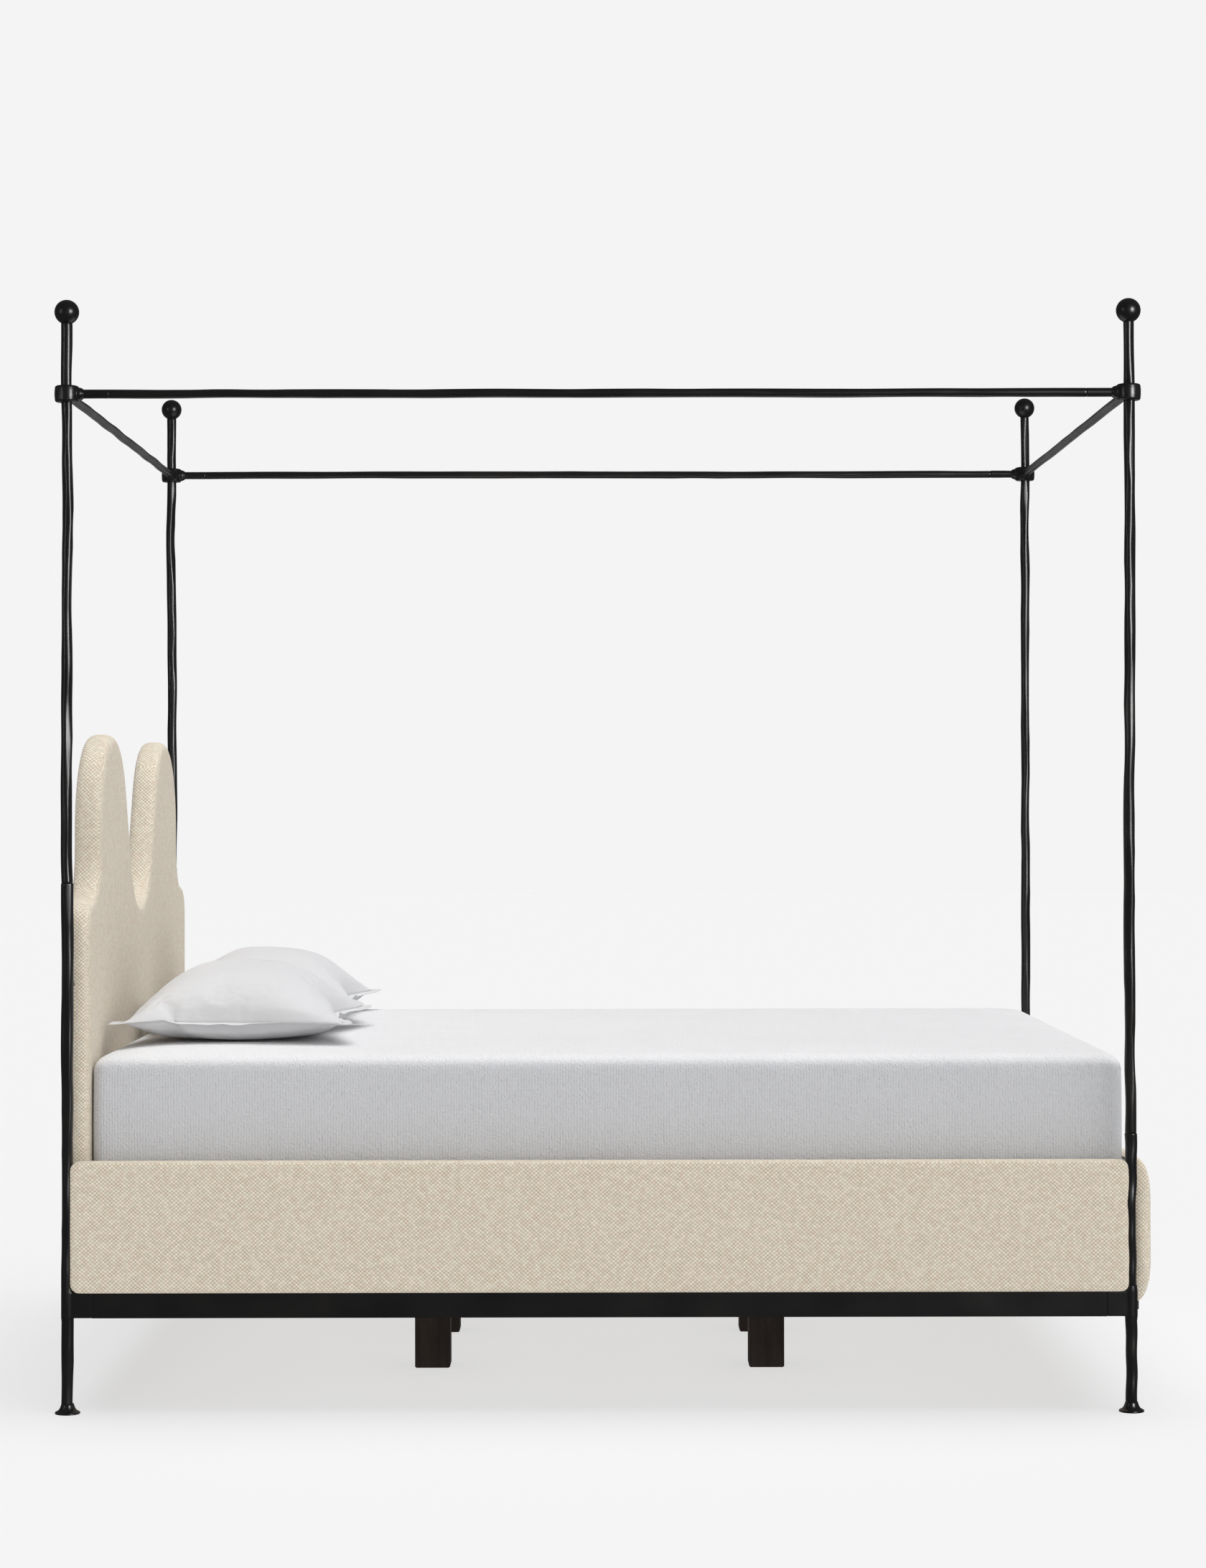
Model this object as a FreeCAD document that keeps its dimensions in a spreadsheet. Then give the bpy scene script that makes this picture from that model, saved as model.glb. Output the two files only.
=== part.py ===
import math
import os

import FreeCAD
import Part
import Sketcher
from FreeCAD import Placement, Rotation, Vector

# A queen size iron four poster bed. X runs from the head (-) to the foot (+), Y from the near side (-)
# to the far side (+), Z up, with the origin on the floor in the middle of the footprint. Millimetres.

SIZES = {
    # where the four posts stand
    "post_spacing_long": 2110,
    "post_spacing_wide": 1640,
    "head_post_x": -1063,
    "foot_post_x": 1047,
    # posts
    "foot_disc_radius": 25,
    "foot_disc_height": 3,
    "foot_height": 18,
    "lower_post_radius": 12.25,
    "upper_post_radius": 11.25,
    "head_joint_height": 1052,
    "foot_joint_height": 552,
    "post_top_height": 2165.2,
    "spigot_radius": 8,
    "spigot_length": 60,
    "stud_radius": 5,
    "stud_length": 26,
    "running_gap": 0.1,
    "ball_radius": 24.5,
    "ball_height": 2187,
    # canopy
    "canopy_height": 2024,
    "collar_radius": 24.5,
    "collar_height": 33,
    "canopy_bar_radius": 9,
    "canopy_seam": 84,
    "boss_radius": 15,
    "boss_reach": 34,
    "bar_spigot_radius": 5,
    "bar_spigot_length": 20,
    # angle iron rails
    "rail_bottom": 190,
    "rail_top": 240,
    "rail_thickness": 6,
    "rail_face": 830,
    "rail_flange": 762,
    "rail_seam": 49,
    "weld_radius": 7,
    "tongue_reach": 110,
    "tongue_face": 823.5,
    "tongue_flange": 776,
    "head_rail_back": 12,
    "head_rail_front": 25,
    "foot_rail_back": 25,
    "foot_rail_front": 22,
    # bolts that join a side rail to its bracket
    "first_bolt": 68,
    "second_bolt": 97,
    "bolt_line": 784,
    "bolt_radius": 3,
    "bolt_head_radius": 5.5,
    "bolt_head_height": 2.8,
    "nut_height": 5,
    "bolt_length": 19,
    # upholstered boards
    "core_thickness": 22,
    "cover_edge": 14,
    "panel_pin_radius": 5,
    "panel_pin_reach": 746,
    # headboard
    "headboard_back": 20,
    "headboard_thickness": 58,
    "headboard_core_back": 6,
    "headboard_bottom": 240,
    "core_bottom": 196,
    "shoulder_height": 1016,
    "shoulder_radius": 70,
    "cove_radius": 100,
    "lobe_offset": 418,
    "lobe_radius": 200,
    "lobe_top": 1356,
    "notch_radius": 176,
    "notch_bottom": 989,
    "headboard_edge_radius": 20,
    "headboard_low_pin": 400,
    "headboard_high_pin": 850,
    # footboard
    "footboard_inner": 3,
    "footboard_thickness": 44,
    "footboard_bottom": 218,
    "footboard_top": 508,
    "footboard_half_width": 790,
    "footboard_edge_radius": 20,
    "footboard_pin_offset": 7,
    "footboard_low_pin": 290,
    "footboard_high_pin": 430,
    # side panels
    "side_cover_outer": 838,
    "side_cover_inner": 770,
    "side_cover_bottom": 240,
    "side_cover_top": 499,
    "side_cover_lip": 420,
    "side_cover_head_gap": 7,
    "side_cover_foot_gap": 5,
    "side_cover_edge_radius": 10,
    "board_clearance": 1,
    "side_core_outer": 823.5,
    "side_core_inner": 801.5,
    "side_core_top": 486,
    "side_core_end_gap": 20,
    "side_core_notch_top": 212,
    "side_core_notch_reach": 117,
    # slats and centre legs
    "slat_half_length": 798,
    "slat_width": 88,
    "slat_thickness": 20,
    "leg_pitch_long": 358,
    "leg_pitch_wide": 246,
    "end_slat_offset": 896,
    "leg_width": 75,
    "leg_chamfer": 3,
    # bedding
    "foundation_length": 2032,
    "foundation_width": 1524,
    "foundation_centre_x": 1.5,
    "foundation_height": 200,
    "foundation_corner": 40,
    "mattress_length": 2064,
    "mattress_width": 1536,
    "mattress_centre_x": 9,
    "mattress_height": 300,
    "mattress_corner": 60,
    "mattress_edge": 30,
    "sham_length": 501,
    "sham_squeeze": 21,
    "sham_width": 643,
    "sham_thickness": 161,
    "sham_seam_height": 50,
    "sham_base_inset": 110,
    "sham_crown_inset": 130,
    "sham_gap": 0.3,
    "near_sham_x": -765,
    "near_sham_y": -294.5,
    "far_sham_x": -777,
    "far_sham_y": 370,
}

ENDS = {"head": 1, "foot": -1}  # which way along X the bed lies from the posts of that end
SIDES = {"near": -1, "far": 1}  # which way along Y the side lies from the middle of the bed

ALONG_X = Rotation(Vector(0, 1, 0), 90)
ALONG_Y = Rotation(Vector(1, 0, 0), -90)

MIDDLE_X = "(sizes.head_post_x + sizes.foot_post_x) / 2"
SLAT_BOTTOM = "(sizes.rail_bottom + sizes.rail_thickness)"
FOUNDATION_BOTTOM = f"({SLAT_BOTTOM} + sizes.slat_thickness)"
MATTRESS_BOTTOM = f"({FOUNDATION_BOTTOM} + sizes.foundation_height)"
MATTRESS_TOP = f"({MATTRESS_BOTTOM} + sizes.mattress_height)"

doc = FreeCAD.newDocument("FourPosterBed")
sizes = doc.addObject("Spreadsheet::Sheet", "sizes")
for row, (alias, size) in enumerate(SIZES.items(), 1):
    sizes.set(f"A{row}", alias)
    sizes.set(f"B{row}", str(size))
    sizes.setAlias(f"B{row}", alias)
doc.recompute()

subparts = []


def value(expression):
    """The number that an expression on the sheet comes to."""
    return float(sizes.evalExpression(expression))


def keep(piece, label):
    """Names a finished sub-part after its node."""
    piece.Label = label
    subparts.append(piece)
    return piece


def place(piece, x="0", y="0", z="0", turn=Rotation()):
    piece.Placement = Placement(Vector(), turn)
    for axis, size in zip("xyz", (x, y, z)):
        piece.setExpression(f"Placement.Base.{axis}", size)


def box(name, length, width, height, x, y, z):
    """A block from the corner x, y, z."""
    block = doc.addObject("Part::Box", name)
    for side, size in zip(("Length", "Width", "Height"), (length, width, height)):
        block.setExpression(side, size)
    place(block, x, y, z)
    return block


def cylinder(name, radius, height, x, y, z, turn=Rotation()):
    rod = doc.addObject("Part::Cylinder", name)
    rod.setExpression("Radius", radius)
    rod.setExpression("Height", height)
    place(rod, x, y, z, turn)
    return rod


def cone(name, radius, end_radius, height, x, y, z, turn=Rotation()):
    taper = doc.addObject("Part::Cone", name)
    taper.setExpression("Radius1", radius)
    taper.setExpression("Radius2", end_radius)
    taper.setExpression("Height", height)
    place(taper, x, y, z, turn)
    return taper


def joined(name, pieces):
    fuse = doc.addObject("Part::MultiFuse", name)
    fuse.Shapes = pieces
    return fuse


def carved(name, base, tools):
    """The base with every tool cut out of it."""
    cut = doc.addObject("Part::Cut", name)
    cut.Base = base
    cut.Tool = joined(f"{name}_tools", tools) if len(tools) > 1 else tools[0]
    return cut


def new_body(name, x="0", y="0", z="0"):
    body = doc.addObject("PartDesign::Body", name)
    place(body, x, y, z)
    return body


def origin_plane(body, role):
    return next(plane for plane in body.Origin.OriginFeatures if plane.Role == role)


def new_sketch(body, role, offset="0"):
    """A sketch on one of the body's own origin planes, moved along that plane's normal."""
    sketch = body.newObject("Sketcher::SketchObject", f"{body.Name}_sketch")
    sketch.AttachmentSupport = [(origin_plane(body, role), "")]
    sketch.MapMode = "FlatFace"
    sketch.setExpression("AttachmentOffset.Base.z", offset)
    return sketch


def pin(sketch, kind, geometry, point, size):
    """Ties a point's distance from the sketch's origin to an expression."""
    number = sketch.addConstraint(Sketcher.Constraint(kind, -1, 1, geometry, point, value(size)))
    sketch.setExpression(f"Constraints[{number}]", size)


def polygon(sketch, corners):
    """A closed outline. Each corner is a pair of expressions."""
    points = [Vector(value(across), value(up), 0) for across, up in corners]
    for start, end in zip(points, points[1:] + points[:1]):
        sketch.addGeometry(Part.LineSegment(start, end))
    for index, (across, up) in enumerate(corners):
        last = (index - 1) % len(corners)
        sketch.addConstraint(Sketcher.Constraint("Coincident", last, 2, index, 1))
        pin(sketch, "DistanceX", index, 1, across)
        pin(sketch, "DistanceY", index, 1, up)


def rectangle(sketch, half_width, half_height):
    """A rectangle about the sketch's origin."""
    left, right = f"-({half_width})", half_width
    bottom, top = f"-({half_height})", half_height
    polygon(sketch, [(left, bottom), (right, bottom), (right, top), (left, top)])


def pad(body, sketch, length, midplane=False):
    feature = body.newObject("PartDesign::Pad", f"{body.Name}_pad")
    feature.Profile = sketch
    feature.setExpression("Length", length)
    feature.Midplane = midplane
    body.Tip = feature
    return feature


def fillet(body, base, names, radius):
    """Rounds the named edges, or every edge of the named faces."""
    feature = body.newObject("PartDesign::Fillet", f"{body.Name}_fillet")
    feature.Base = (base, names)
    feature.setExpression("Radius", radius)
    body.Tip = feature
    doc.recompute()
    return feature


def faces_facing(feature, direction):
    """The flat faces of a feature whose normal is along a direction, either way."""
    return [
        f"Face{number}"
        for number, face in enumerate(feature.Shape.Faces, 1)
        if isinstance(face.Surface, Part.Plane) and abs(face.normalAt(0, 0).dot(direction)) > 0.999
    ]


def edges_along(feature, direction):
    """The straight edges of a feature that run along a direction, either way."""
    return [
        f"Edge{number}"
        for number, edge in enumerate(feature.Shape.Edges, 1)
        if isinstance(edge.Curve, Part.Line) and abs(edge.Curve.Direction.dot(direction)) > 0.999
    ]


def post_place(end, side):
    """The expressions for the middle of one post."""
    return f"sizes.{end}_post_x", f"{SIDES[side]} * sizes.post_spacing_wide / 2"


# ---- posts: a lower and an upper forged bar, a flared foot and a ball finial ----


def lower_post(end, side):
    """A solid bar from the foot up, with a blind socket in its top and a stud hole in its base."""
    x, y = post_place(end, side)
    name = f"post_lower_{end}_{side}"
    top = f"sizes.{end}_joint_height"
    bar = cylinder(
        f"{name}_bar", "sizes.lower_post_radius", f"{top} - sizes.foot_height", x, y, "sizes.foot_height"
    )
    socket_depth = "(sizes.spigot_length + 2)"
    socket = cylinder(
        f"{name}_socket", "sizes.spigot_radius + sizes.running_gap", socket_depth, x, y,
        f"{top} - {socket_depth}",
    )
    hole = cylinder(
        f"{name}_hole", "sizes.stud_radius + sizes.running_gap", "sizes.stud_length + 2", x, y,
        "sizes.foot_height",
    )
    keep(carved(name, bar, [socket, hole]), name)
    return bar


def upper_post(end, side):
    """A slimmer bar above the joint: a spigot below it and a stud hole in its top."""
    x, y = post_place(end, side)
    name = f"post_upper_{end}_{side}"
    base = f"sizes.{end}_joint_height"
    bar = cylinder(f"{name}_bar", "sizes.upper_post_radius", f"sizes.post_top_height - {base}", x, y, base)
    spigot = cylinder(
        f"{name}_spigot", "sizes.spigot_radius", "sizes.spigot_length", x, y,
        f"{base} - sizes.spigot_length",
    )
    depth = "(sizes.stud_length + 2)"
    hole = cylinder(
        f"{name}_hole", "sizes.stud_radius + sizes.running_gap", depth, x, y,
        f"sizes.post_top_height - {depth}",
    )
    keep(carved(name, joined(f"{name}_solid", [bar, spigot]), [hole]), name)


def flared_foot(end, side):
    """A disc and a cone up to the post's own width, with a stud that holds it in the post."""
    x, y = post_place(end, side)
    name = f"post_foot_{end}_{side}"
    disc = cylinder(f"{name}_disc", "sizes.foot_disc_radius", "sizes.foot_disc_height", x, y, "0")
    flare_height = "sizes.foot_height - sizes.foot_disc_height"
    flare = cone(
        f"{name}_flare", "sizes.foot_disc_radius", "sizes.lower_post_radius", flare_height, x, y,
        "sizes.foot_disc_height",
    )
    stud = cylinder(f"{name}_stud", "sizes.stud_radius", "sizes.stud_length", x, y, "sizes.foot_height")
    keep(joined(name, [disc, flare, stud]), name)


def ball_finial(end, side):
    """A ball that sits on the post's rim, flat below, with a stud down into the post."""
    x, y = post_place(end, side)
    name = f"finial_{end}_{side}"
    ball = doc.addObject("Part::Sphere", f"{name}_ball")
    ball.setExpression("Radius", "sizes.ball_radius")
    place(ball, x, y, "sizes.ball_height")
    seat = cylinder(
        f"{name}_seat", "sizes.ball_radius", "sizes.ball_radius", x, y,
        "sizes.post_top_height - sizes.ball_radius",
    )
    flat_ball = carved(f"{name}_flat_ball", ball, [seat])
    stud_height = "(sizes.stud_length + 4)"
    stud = cylinder(
        f"{name}_stud", "sizes.stud_radius", stud_height, x, y, "sizes.post_top_height - sizes.stud_length"
    )
    keep(joined(name, [flat_ball, stud]), name)


# ---- canopy: a collar on each post and four bars between the collars ----


def canopy_collar(end, side):
    """A ring round the post with a stub along the bed and a stub across it, each on a tapered boss."""
    x, y = post_place(end, side)
    name = f"collar_{end}_{side}"
    base = "sizes.canopy_height - sizes.collar_height / 2"
    ring = cylinder(f"{name}_ring", "sizes.collar_radius", "sizes.collar_height", x, y, base)
    inward = {"x": ENDS[end], "y": -SIDES[side]}
    turns = {
        "x": Rotation(Vector(0, 1, 0), 90 * inward["x"]),
        "y": Rotation(Vector(1, 0, 0), -90 * inward["y"]),
    }
    solids, holes = [ring], []
    for axis, turn in turns.items():
        boss = cone(
            f"{name}_boss_{axis}", "sizes.boss_radius", "sizes.canopy_bar_radius", "sizes.boss_reach", x, y,
            "sizes.canopy_height", turn,
        )
        stub = cylinder(
            f"{name}_stub_{axis}", "sizes.canopy_bar_radius", "sizes.canopy_seam", x, y,
            "sizes.canopy_height", turn,
        )
        depth = "(sizes.bar_spigot_length + 1)"
        start = f"{inward[axis]} * (sizes.canopy_seam - {depth})"
        hole_x = f"{x} + {start}" if axis == "x" else x
        hole_y = f"{y} + {start}" if axis == "y" else y
        hole = cylinder(
            f"{name}_hole_{axis}", "sizes.bar_spigot_radius + sizes.running_gap", depth, hole_x, hole_y,
            "sizes.canopy_height", turn,
        )
        solids += [boss, stub]
        holes.append(hole)
    bore = cylinder(
        f"{name}_bore", "sizes.upper_post_radius + sizes.running_gap / 2", "sizes.collar_height", x, y, base
    )
    keep(carved(name, joined(f"{name}_solid", solids), [bore] + holes), name)


def canopy_bar(name, length, x, y, turn):
    """A round bar between two seams, with a spigot at each end. x, y are its middle."""
    across = turn == ALONG_Y
    offset_x, offset_y = ("0", f"({length}) / 2") if across else (f"({length}) / 2", "0")
    bar = cylinder(
        f"{name}_bar", "sizes.canopy_bar_radius", length, f"{x} - {offset_x}", f"{y} - {offset_y}",
        "sizes.canopy_height", turn,
    )
    reach = "sizes.bar_spigot_length"
    start_x = f"{x} - {offset_x}" + ("" if across else f" - {reach}")
    start_y = f"{y} - {offset_y}" + (f" - {reach}" if across else "")
    spigots = cylinder(
        f"{name}_spigots", "sizes.bar_spigot_radius", f"{length} + 2 * {reach}", start_x, start_y,
        "sizes.canopy_height", turn,
    )
    keep(joined(name, [bar, spigots]), name)


# ---- rails: angle iron, bolted to brackets that are welded to the posts ----


def rail_bracket(end, side, post):
    """A corner of angle iron welded to the post, and a tongue that the side rail is bolted to."""
    x, y = post_place(end, side)
    name = f"bracket_{end}_{side}"
    inward = ENDS[end]
    face = new_body(f"{name}_face", x, f"{SIDES[side]} * (sizes.rail_face - sizes.rail_thickness / 2)")
    outline = new_sketch(face, "XZ_Plane")
    root = "(sizes.lower_post_radius + sizes.weld_radius)"
    polygon(
        outline,
        [
            ("0", "sizes.rail_top"),
            (f"{inward} * sizes.rail_seam", "sizes.rail_top"),
            (f"{inward} * sizes.rail_seam", "sizes.rail_bottom"),
            (f"{inward} * {root}", "sizes.rail_bottom"),
            (f"{inward} * sizes.lower_post_radius", "sizes.rail_bottom - sizes.weld_radius"),
            ("0", "sizes.rail_bottom - sizes.weld_radius"),
        ],
    )
    pad(face, outline, "sizes.rail_thickness", midplane=True)

    seam_x = x if inward > 0 else f"{x} - sizes.rail_seam"
    flange_y = "sizes.rail_flange" if SIDES[side] > 0 else "-sizes.rail_face"
    flange = box(
        f"{name}_flange", "sizes.rail_seam", "sizes.rail_face - sizes.rail_flange", "sizes.rail_thickness",
        seam_x, flange_y, "sizes.rail_bottom",
    )
    reach = "(sizes.tongue_reach - sizes.lower_post_radius)"
    tongue_x = f"{x} + sizes.lower_post_radius" if inward > 0 else f"{x} - sizes.tongue_reach"
    tongue_y = "sizes.tongue_flange" if SIDES[side] > 0 else "-sizes.tongue_face"
    tongue = box(
        f"{name}_tongue", reach, "sizes.tongue_face - sizes.tongue_flange", "sizes.rail_thickness",
        tongue_x, tongue_y, SLAT_BOTTOM,
    )
    solid = joined(f"{name}_solid", [face, flange, tongue])
    keep(carved(name, solid, [post] + bolt_holes(name, end, side)), name)


def bolt_places(end, side):
    """The expressions for the middles of the two bolts at one end of a side rail."""
    x, _ = post_place(end, side)
    y = f"{SIDES[side]} * sizes.bolt_line"
    return [(f"{x} + {ENDS[end]} * sizes.{bolt}_bolt", y) for bolt in ("first", "second")]


def bolt_holes(name, end, side):
    """Clearance holes up through the rail's flange and the bracket's tongue."""
    return [
        cylinder(
            f"{name}_bolt_hole_{end}_{number}", "sizes.bolt_radius + sizes.running_gap",
            "2 * sizes.rail_thickness", x, y, "sizes.rail_bottom",
        )
        for number, (x, y) in enumerate(bolt_places(end, side), 1)
    ]


def side_rail(side):
    """Angle iron between the two seams: an upright face outside and a flange that carries the slats."""
    name = f"side_rail_{side}"
    body = new_body(f"{name}_angle", MIDDLE_X)
    profile = new_sketch(body, "YZ_Plane")
    out = SIDES[side]
    polygon(
        profile,
        [
            (f"{out} * sizes.rail_face", "sizes.rail_bottom"),
            (f"{out} * sizes.rail_flange", "sizes.rail_bottom"),
            (f"{out} * sizes.rail_flange", SLAT_BOTTOM),
            (f"{out} * (sizes.rail_face - sizes.rail_thickness)", SLAT_BOTTOM),
            (f"{out} * (sizes.rail_face - sizes.rail_thickness)", "sizes.rail_top"),
            (f"{out} * sizes.rail_face", "sizes.rail_top"),
        ],
    )
    pad(body, profile, "sizes.post_spacing_long - 2 * sizes.rail_seam", midplane=True)
    keep(carved(name, body, bolt_holes(name, "head", side) + bolt_holes(name, "foot", side)), name)


def end_rail(end, back, front, upright_at):
    """Angle iron between the brackets of one end. Its flange carries the board's core."""
    name = f"{end}_rail"
    post_x = f"sizes.{end}_post_x"
    length = "2 * sizes.rail_flange"
    flange = box(
        f"{name}_flange", f"{back} + {front}", length, "sizes.rail_thickness",
        f"{post_x} - {back}", "-sizes.rail_flange", "sizes.rail_bottom",
    )
    upright = box(
        f"{name}_upright", "sizes.rail_thickness", length, "sizes.rail_top - sizes.rail_bottom",
        f"{post_x} - {upright_at}", "-sizes.rail_flange", "sizes.rail_bottom",
    )
    keep(joined(name, [flange, upright]), name)


def rail_fasteners(side):
    """Two headed bolts at the foot end and two flush ones at the head end, with their nuts."""
    name = f"rail_bolts_{side}"
    pieces = []
    for end in ENDS:
        for number, (x, y) in enumerate(bolt_places(end, side), 1):
            tag = f"{name}_{end}_{number}"
            shank = cylinder(
                f"{tag}_shank", "sizes.bolt_radius", "sizes.bolt_length", x, y, "sizes.rail_bottom"
            )
            pieces.append(shank)
            nut = doc.addObject("Part::Prism", f"{tag}_nut")
            nut.Polygon = 6
            nut.setExpression("Circumradius", "sizes.bolt_head_radius")
            nut.setExpression("Height", "sizes.nut_height")
            place(nut, x, y, f"{SLAT_BOTTOM} + sizes.rail_thickness")
            pieces.append(nut)
            if end == "foot":
                head = cone(
                    f"{tag}_head", "sizes.bolt_head_radius * 0.6", "sizes.bolt_head_radius",
                    "sizes.bolt_head_height", x, y, "sizes.rail_bottom - sizes.bolt_head_height",
                )
                pieces.append(head)
    keep(joined(name, pieces), name)


# ---- upholstered boards ----


def lobed_board(name, x, thickness, inset, bottom):
    """The headboard's outline, drawn inset from its edge and thickened along +X from x.

    Half of it is drawn, from the middle out: up the side, over a shoulder, up a cove to a round lobe and
    down its flank to the notch in the middle. The arcs meet in tangents, so an inset keeps their centres.
    """
    body = new_body(name, x)
    half = new_sketch(body, "YZ_Plane")
    shoulder = {
        "x": "sizes.lobe_offset + sizes.lobe_radius + sizes.cove_radius",
        "z": "sizes.shoulder_height - sizes.shoulder_radius",
        "radius": f"sizes.shoulder_radius - {inset}",
    }
    cove = {
        "x": shoulder["x"],
        "z": "sizes.shoulder_height + sizes.cove_radius",
        "radius": f"sizes.cove_radius + {inset}",
    }
    lobe = {
        "x": "sizes.lobe_offset",
        "z": "sizes.lobe_top - sizes.lobe_radius",
        "radius": f"sizes.lobe_radius - {inset}",
    }
    notch = {
        "x": "0",
        "z": "sizes.notch_bottom + sizes.notch_radius",
        "radius": f"sizes.notch_radius + {inset}",
    }
    flank = 26  # degrees: a first guess at the flank's lean, which the tangents then settle

    def arc(curve, start, end):
        middle = Vector(value(curve["x"]), value(curve["z"]), 0)
        circle = Part.Circle(middle, Vector(0, 0, 1), value(curve["radius"]))
        return Part.ArcOfCircle(circle, math.radians(start), math.radians(end))

    shoulder_arc = arc(shoulder, 0, 90)
    cove_arc = arc(cove, 180, 270)
    lobe_arc = arc(lobe, 0, 180 - flank)
    notch_arc = arc(notch, 270, 360 - flank)
    low_middle = Vector(0, value(bottom), 0)
    low_corner = Vector(shoulder_arc.StartPoint.x, value(bottom), 0)
    outline = [
        Part.LineSegment(low_middle, low_corner),
        Part.LineSegment(low_corner, shoulder_arc.StartPoint),
        shoulder_arc,
        cove_arc,
        Part.LineSegment(cove_arc.StartPoint, lobe_arc.StartPoint),
        lobe_arc,
        Part.LineSegment(lobe_arc.EndPoint, notch_arc.EndPoint),
        notch_arc,
        Part.LineSegment(notch_arc.StartPoint, low_middle),
    ]
    base, side, shoulder_at, cove_at, lobe_side, lobe_at, flank_at, notch_at, middle = range(9)
    half.addGeometry(outline)
    start, end, centre, vertical_axis = 1, 2, 3, -2
    for constraint in (
        ("Coincident", base, end, side, start),
        ("Tangent", side, end, shoulder_at, start),
        ("Tangent", shoulder_at, end, cove_at, end),
        ("Tangent", cove_at, start, lobe_side, start),
        ("Tangent", lobe_side, end, lobe_at, start),
        ("Tangent", lobe_at, end, flank_at, start),
        ("Tangent", flank_at, end, notch_at, end),
        ("Coincident", notch_at, start, middle, start),
        ("Coincident", middle, end, base, start),
        ("Horizontal", base),
        ("Vertical", side),
        ("Vertical", lobe_side),
        ("Vertical", middle),
        ("Vertical", shoulder_at, centre, shoulder_at, end),
        ("PointOnObject", middle, start, vertical_axis),
        ("PointOnObject", notch_at, centre, vertical_axis),
    ):
        half.addConstraint(Sketcher.Constraint(*constraint))
    for number, curve in ((shoulder_at, shoulder), (cove_at, cove), (lobe_at, lobe), (notch_at, notch)):
        radius = half.addConstraint(Sketcher.Constraint("Radius", number, value(curve["radius"])))
        half.setExpression(f"Constraints[{radius}]", curve["radius"])
    pin(half, "DistanceY", base, start, bottom)
    pin(half, "DistanceY", shoulder_at, centre, shoulder["z"])
    pin(half, "DistanceX", lobe_at, centre, lobe["x"])
    pin(half, "DistanceY", lobe_at, centre, lobe["z"])
    pin(half, "DistanceY", notch_at, centre, notch["z"])

    slab = pad(body, half, thickness)
    doc.recompute()
    whole = body.newObject("PartDesign::Mirrored", f"{name}_mirrored")
    whole.Originals = [slab]
    whole.MirrorPlane = (origin_plane(body, "XZ_Plane"), [""])
    whole.Refine = True
    body.Tip = whole
    doc.recompute()
    return body, whole


def panel_pins():
    """Steel pins welded to the posts, which locate the edges of the headboard's and footboard's cores."""
    core_x = {
        "head": "sizes.head_post_x - sizes.headboard_core_back + sizes.core_thickness / 2",
        "foot": "sizes.foot_post_x + sizes.footboard_pin_offset",
    }
    board = {"head": "headboard", "foot": "footboard"}
    length = "sizes.post_spacing_wide / 2 - sizes.panel_pin_reach"
    pins = {}
    for end in ENDS:
        pins[end] = [
            cylinder(
                f"pin_{end}_{side}_{level}", "sizes.panel_pin_radius", length, core_x[end],
                "sizes.panel_pin_reach" if SIDES[side] > 0 else "-sizes.post_spacing_wide / 2",
                f"sizes.{board[end]}_{level}_pin", ALONG_Y,
            )
            for side in SIDES
            for level in ("low", "high")
        ]
    return pins


def headboard(pins):
    """A two-lobed wood core and the padded cover round it, open below for the core."""
    back_x = "sizes.head_post_x - sizes.headboard_back"
    core_x = "sizes.head_post_x - sizes.headboard_core_back"
    core, _ = lobed_board(
        "headboard_core_body", core_x, "sizes.core_thickness", "sizes.cover_edge", "sizes.core_bottom"
    )
    cover, slab = lobed_board(
        "headboard_cover_body", back_x, "sizes.headboard_thickness", "0", "sizes.headboard_bottom"
    )
    fillet(cover, slab, faces_facing(slab, Vector(1, 0, 0)), "sizes.headboard_edge_radius")
    keep(carved("headboard_core", core, pins), "headboard_core")
    keep(carved("headboard_upholstery", cover, [core] + pins), "headboard_upholstery")


def footboard(pins):
    """A low board across the foot: a wood core, and a padded cover that is open below for it."""
    middle_z = "(sizes.footboard_top + sizes.footboard_bottom) / 2"
    inner_x = "sizes.foot_post_x - sizes.footboard_inner"
    cover = new_body("footboard_cover_body", inner_x, "0", middle_z)
    outline = new_sketch(cover, "YZ_Plane")
    rectangle(outline, "sizes.footboard_half_width", "(sizes.footboard_top - sizes.footboard_bottom) / 2")
    slab = pad(cover, outline, "sizes.footboard_thickness")
    doc.recompute()
    fillet(cover, slab, faces_facing(slab, Vector(1, 0, 0)), "sizes.footboard_edge_radius")
    core_half = "(sizes.footboard_half_width - sizes.cover_edge)"
    core = box(
        "footboard_core_board", "sizes.core_thickness", f"2 * {core_half}",
        "sizes.footboard_top - sizes.cover_edge - sizes.core_bottom",
        "sizes.foot_post_x", f"-{core_half}", "sizes.core_bottom",
    )
    keep(carved("footboard_core", core, pins), "footboard_core")
    keep(carved("footboard_upholstery", cover, [core] + pins), "footboard_upholstery")


def board_rooms():
    """The room that the headboard and the footboard take up between the lips of the side panels."""
    width = "2 * (sizes.footboard_half_width + sizes.board_clearance)"
    rooms = []
    for end, back, thickness in (
        ("head", "sizes.head_post_x - sizes.headboard_back", "sizes.headboard_thickness"),
        ("foot", "sizes.foot_post_x - sizes.footboard_inner", "sizes.footboard_thickness"),
    ):
        room = box(
            f"board_room_{end}", f"{thickness} + 2 * sizes.board_clearance", width, "sizes.side_cover_top",
            f"{back} - sizes.board_clearance", "-(sizes.footboard_half_width + sizes.board_clearance)",
            "sizes.side_cover_bottom",
        )
        rooms.append(room)
    return rooms


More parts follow.
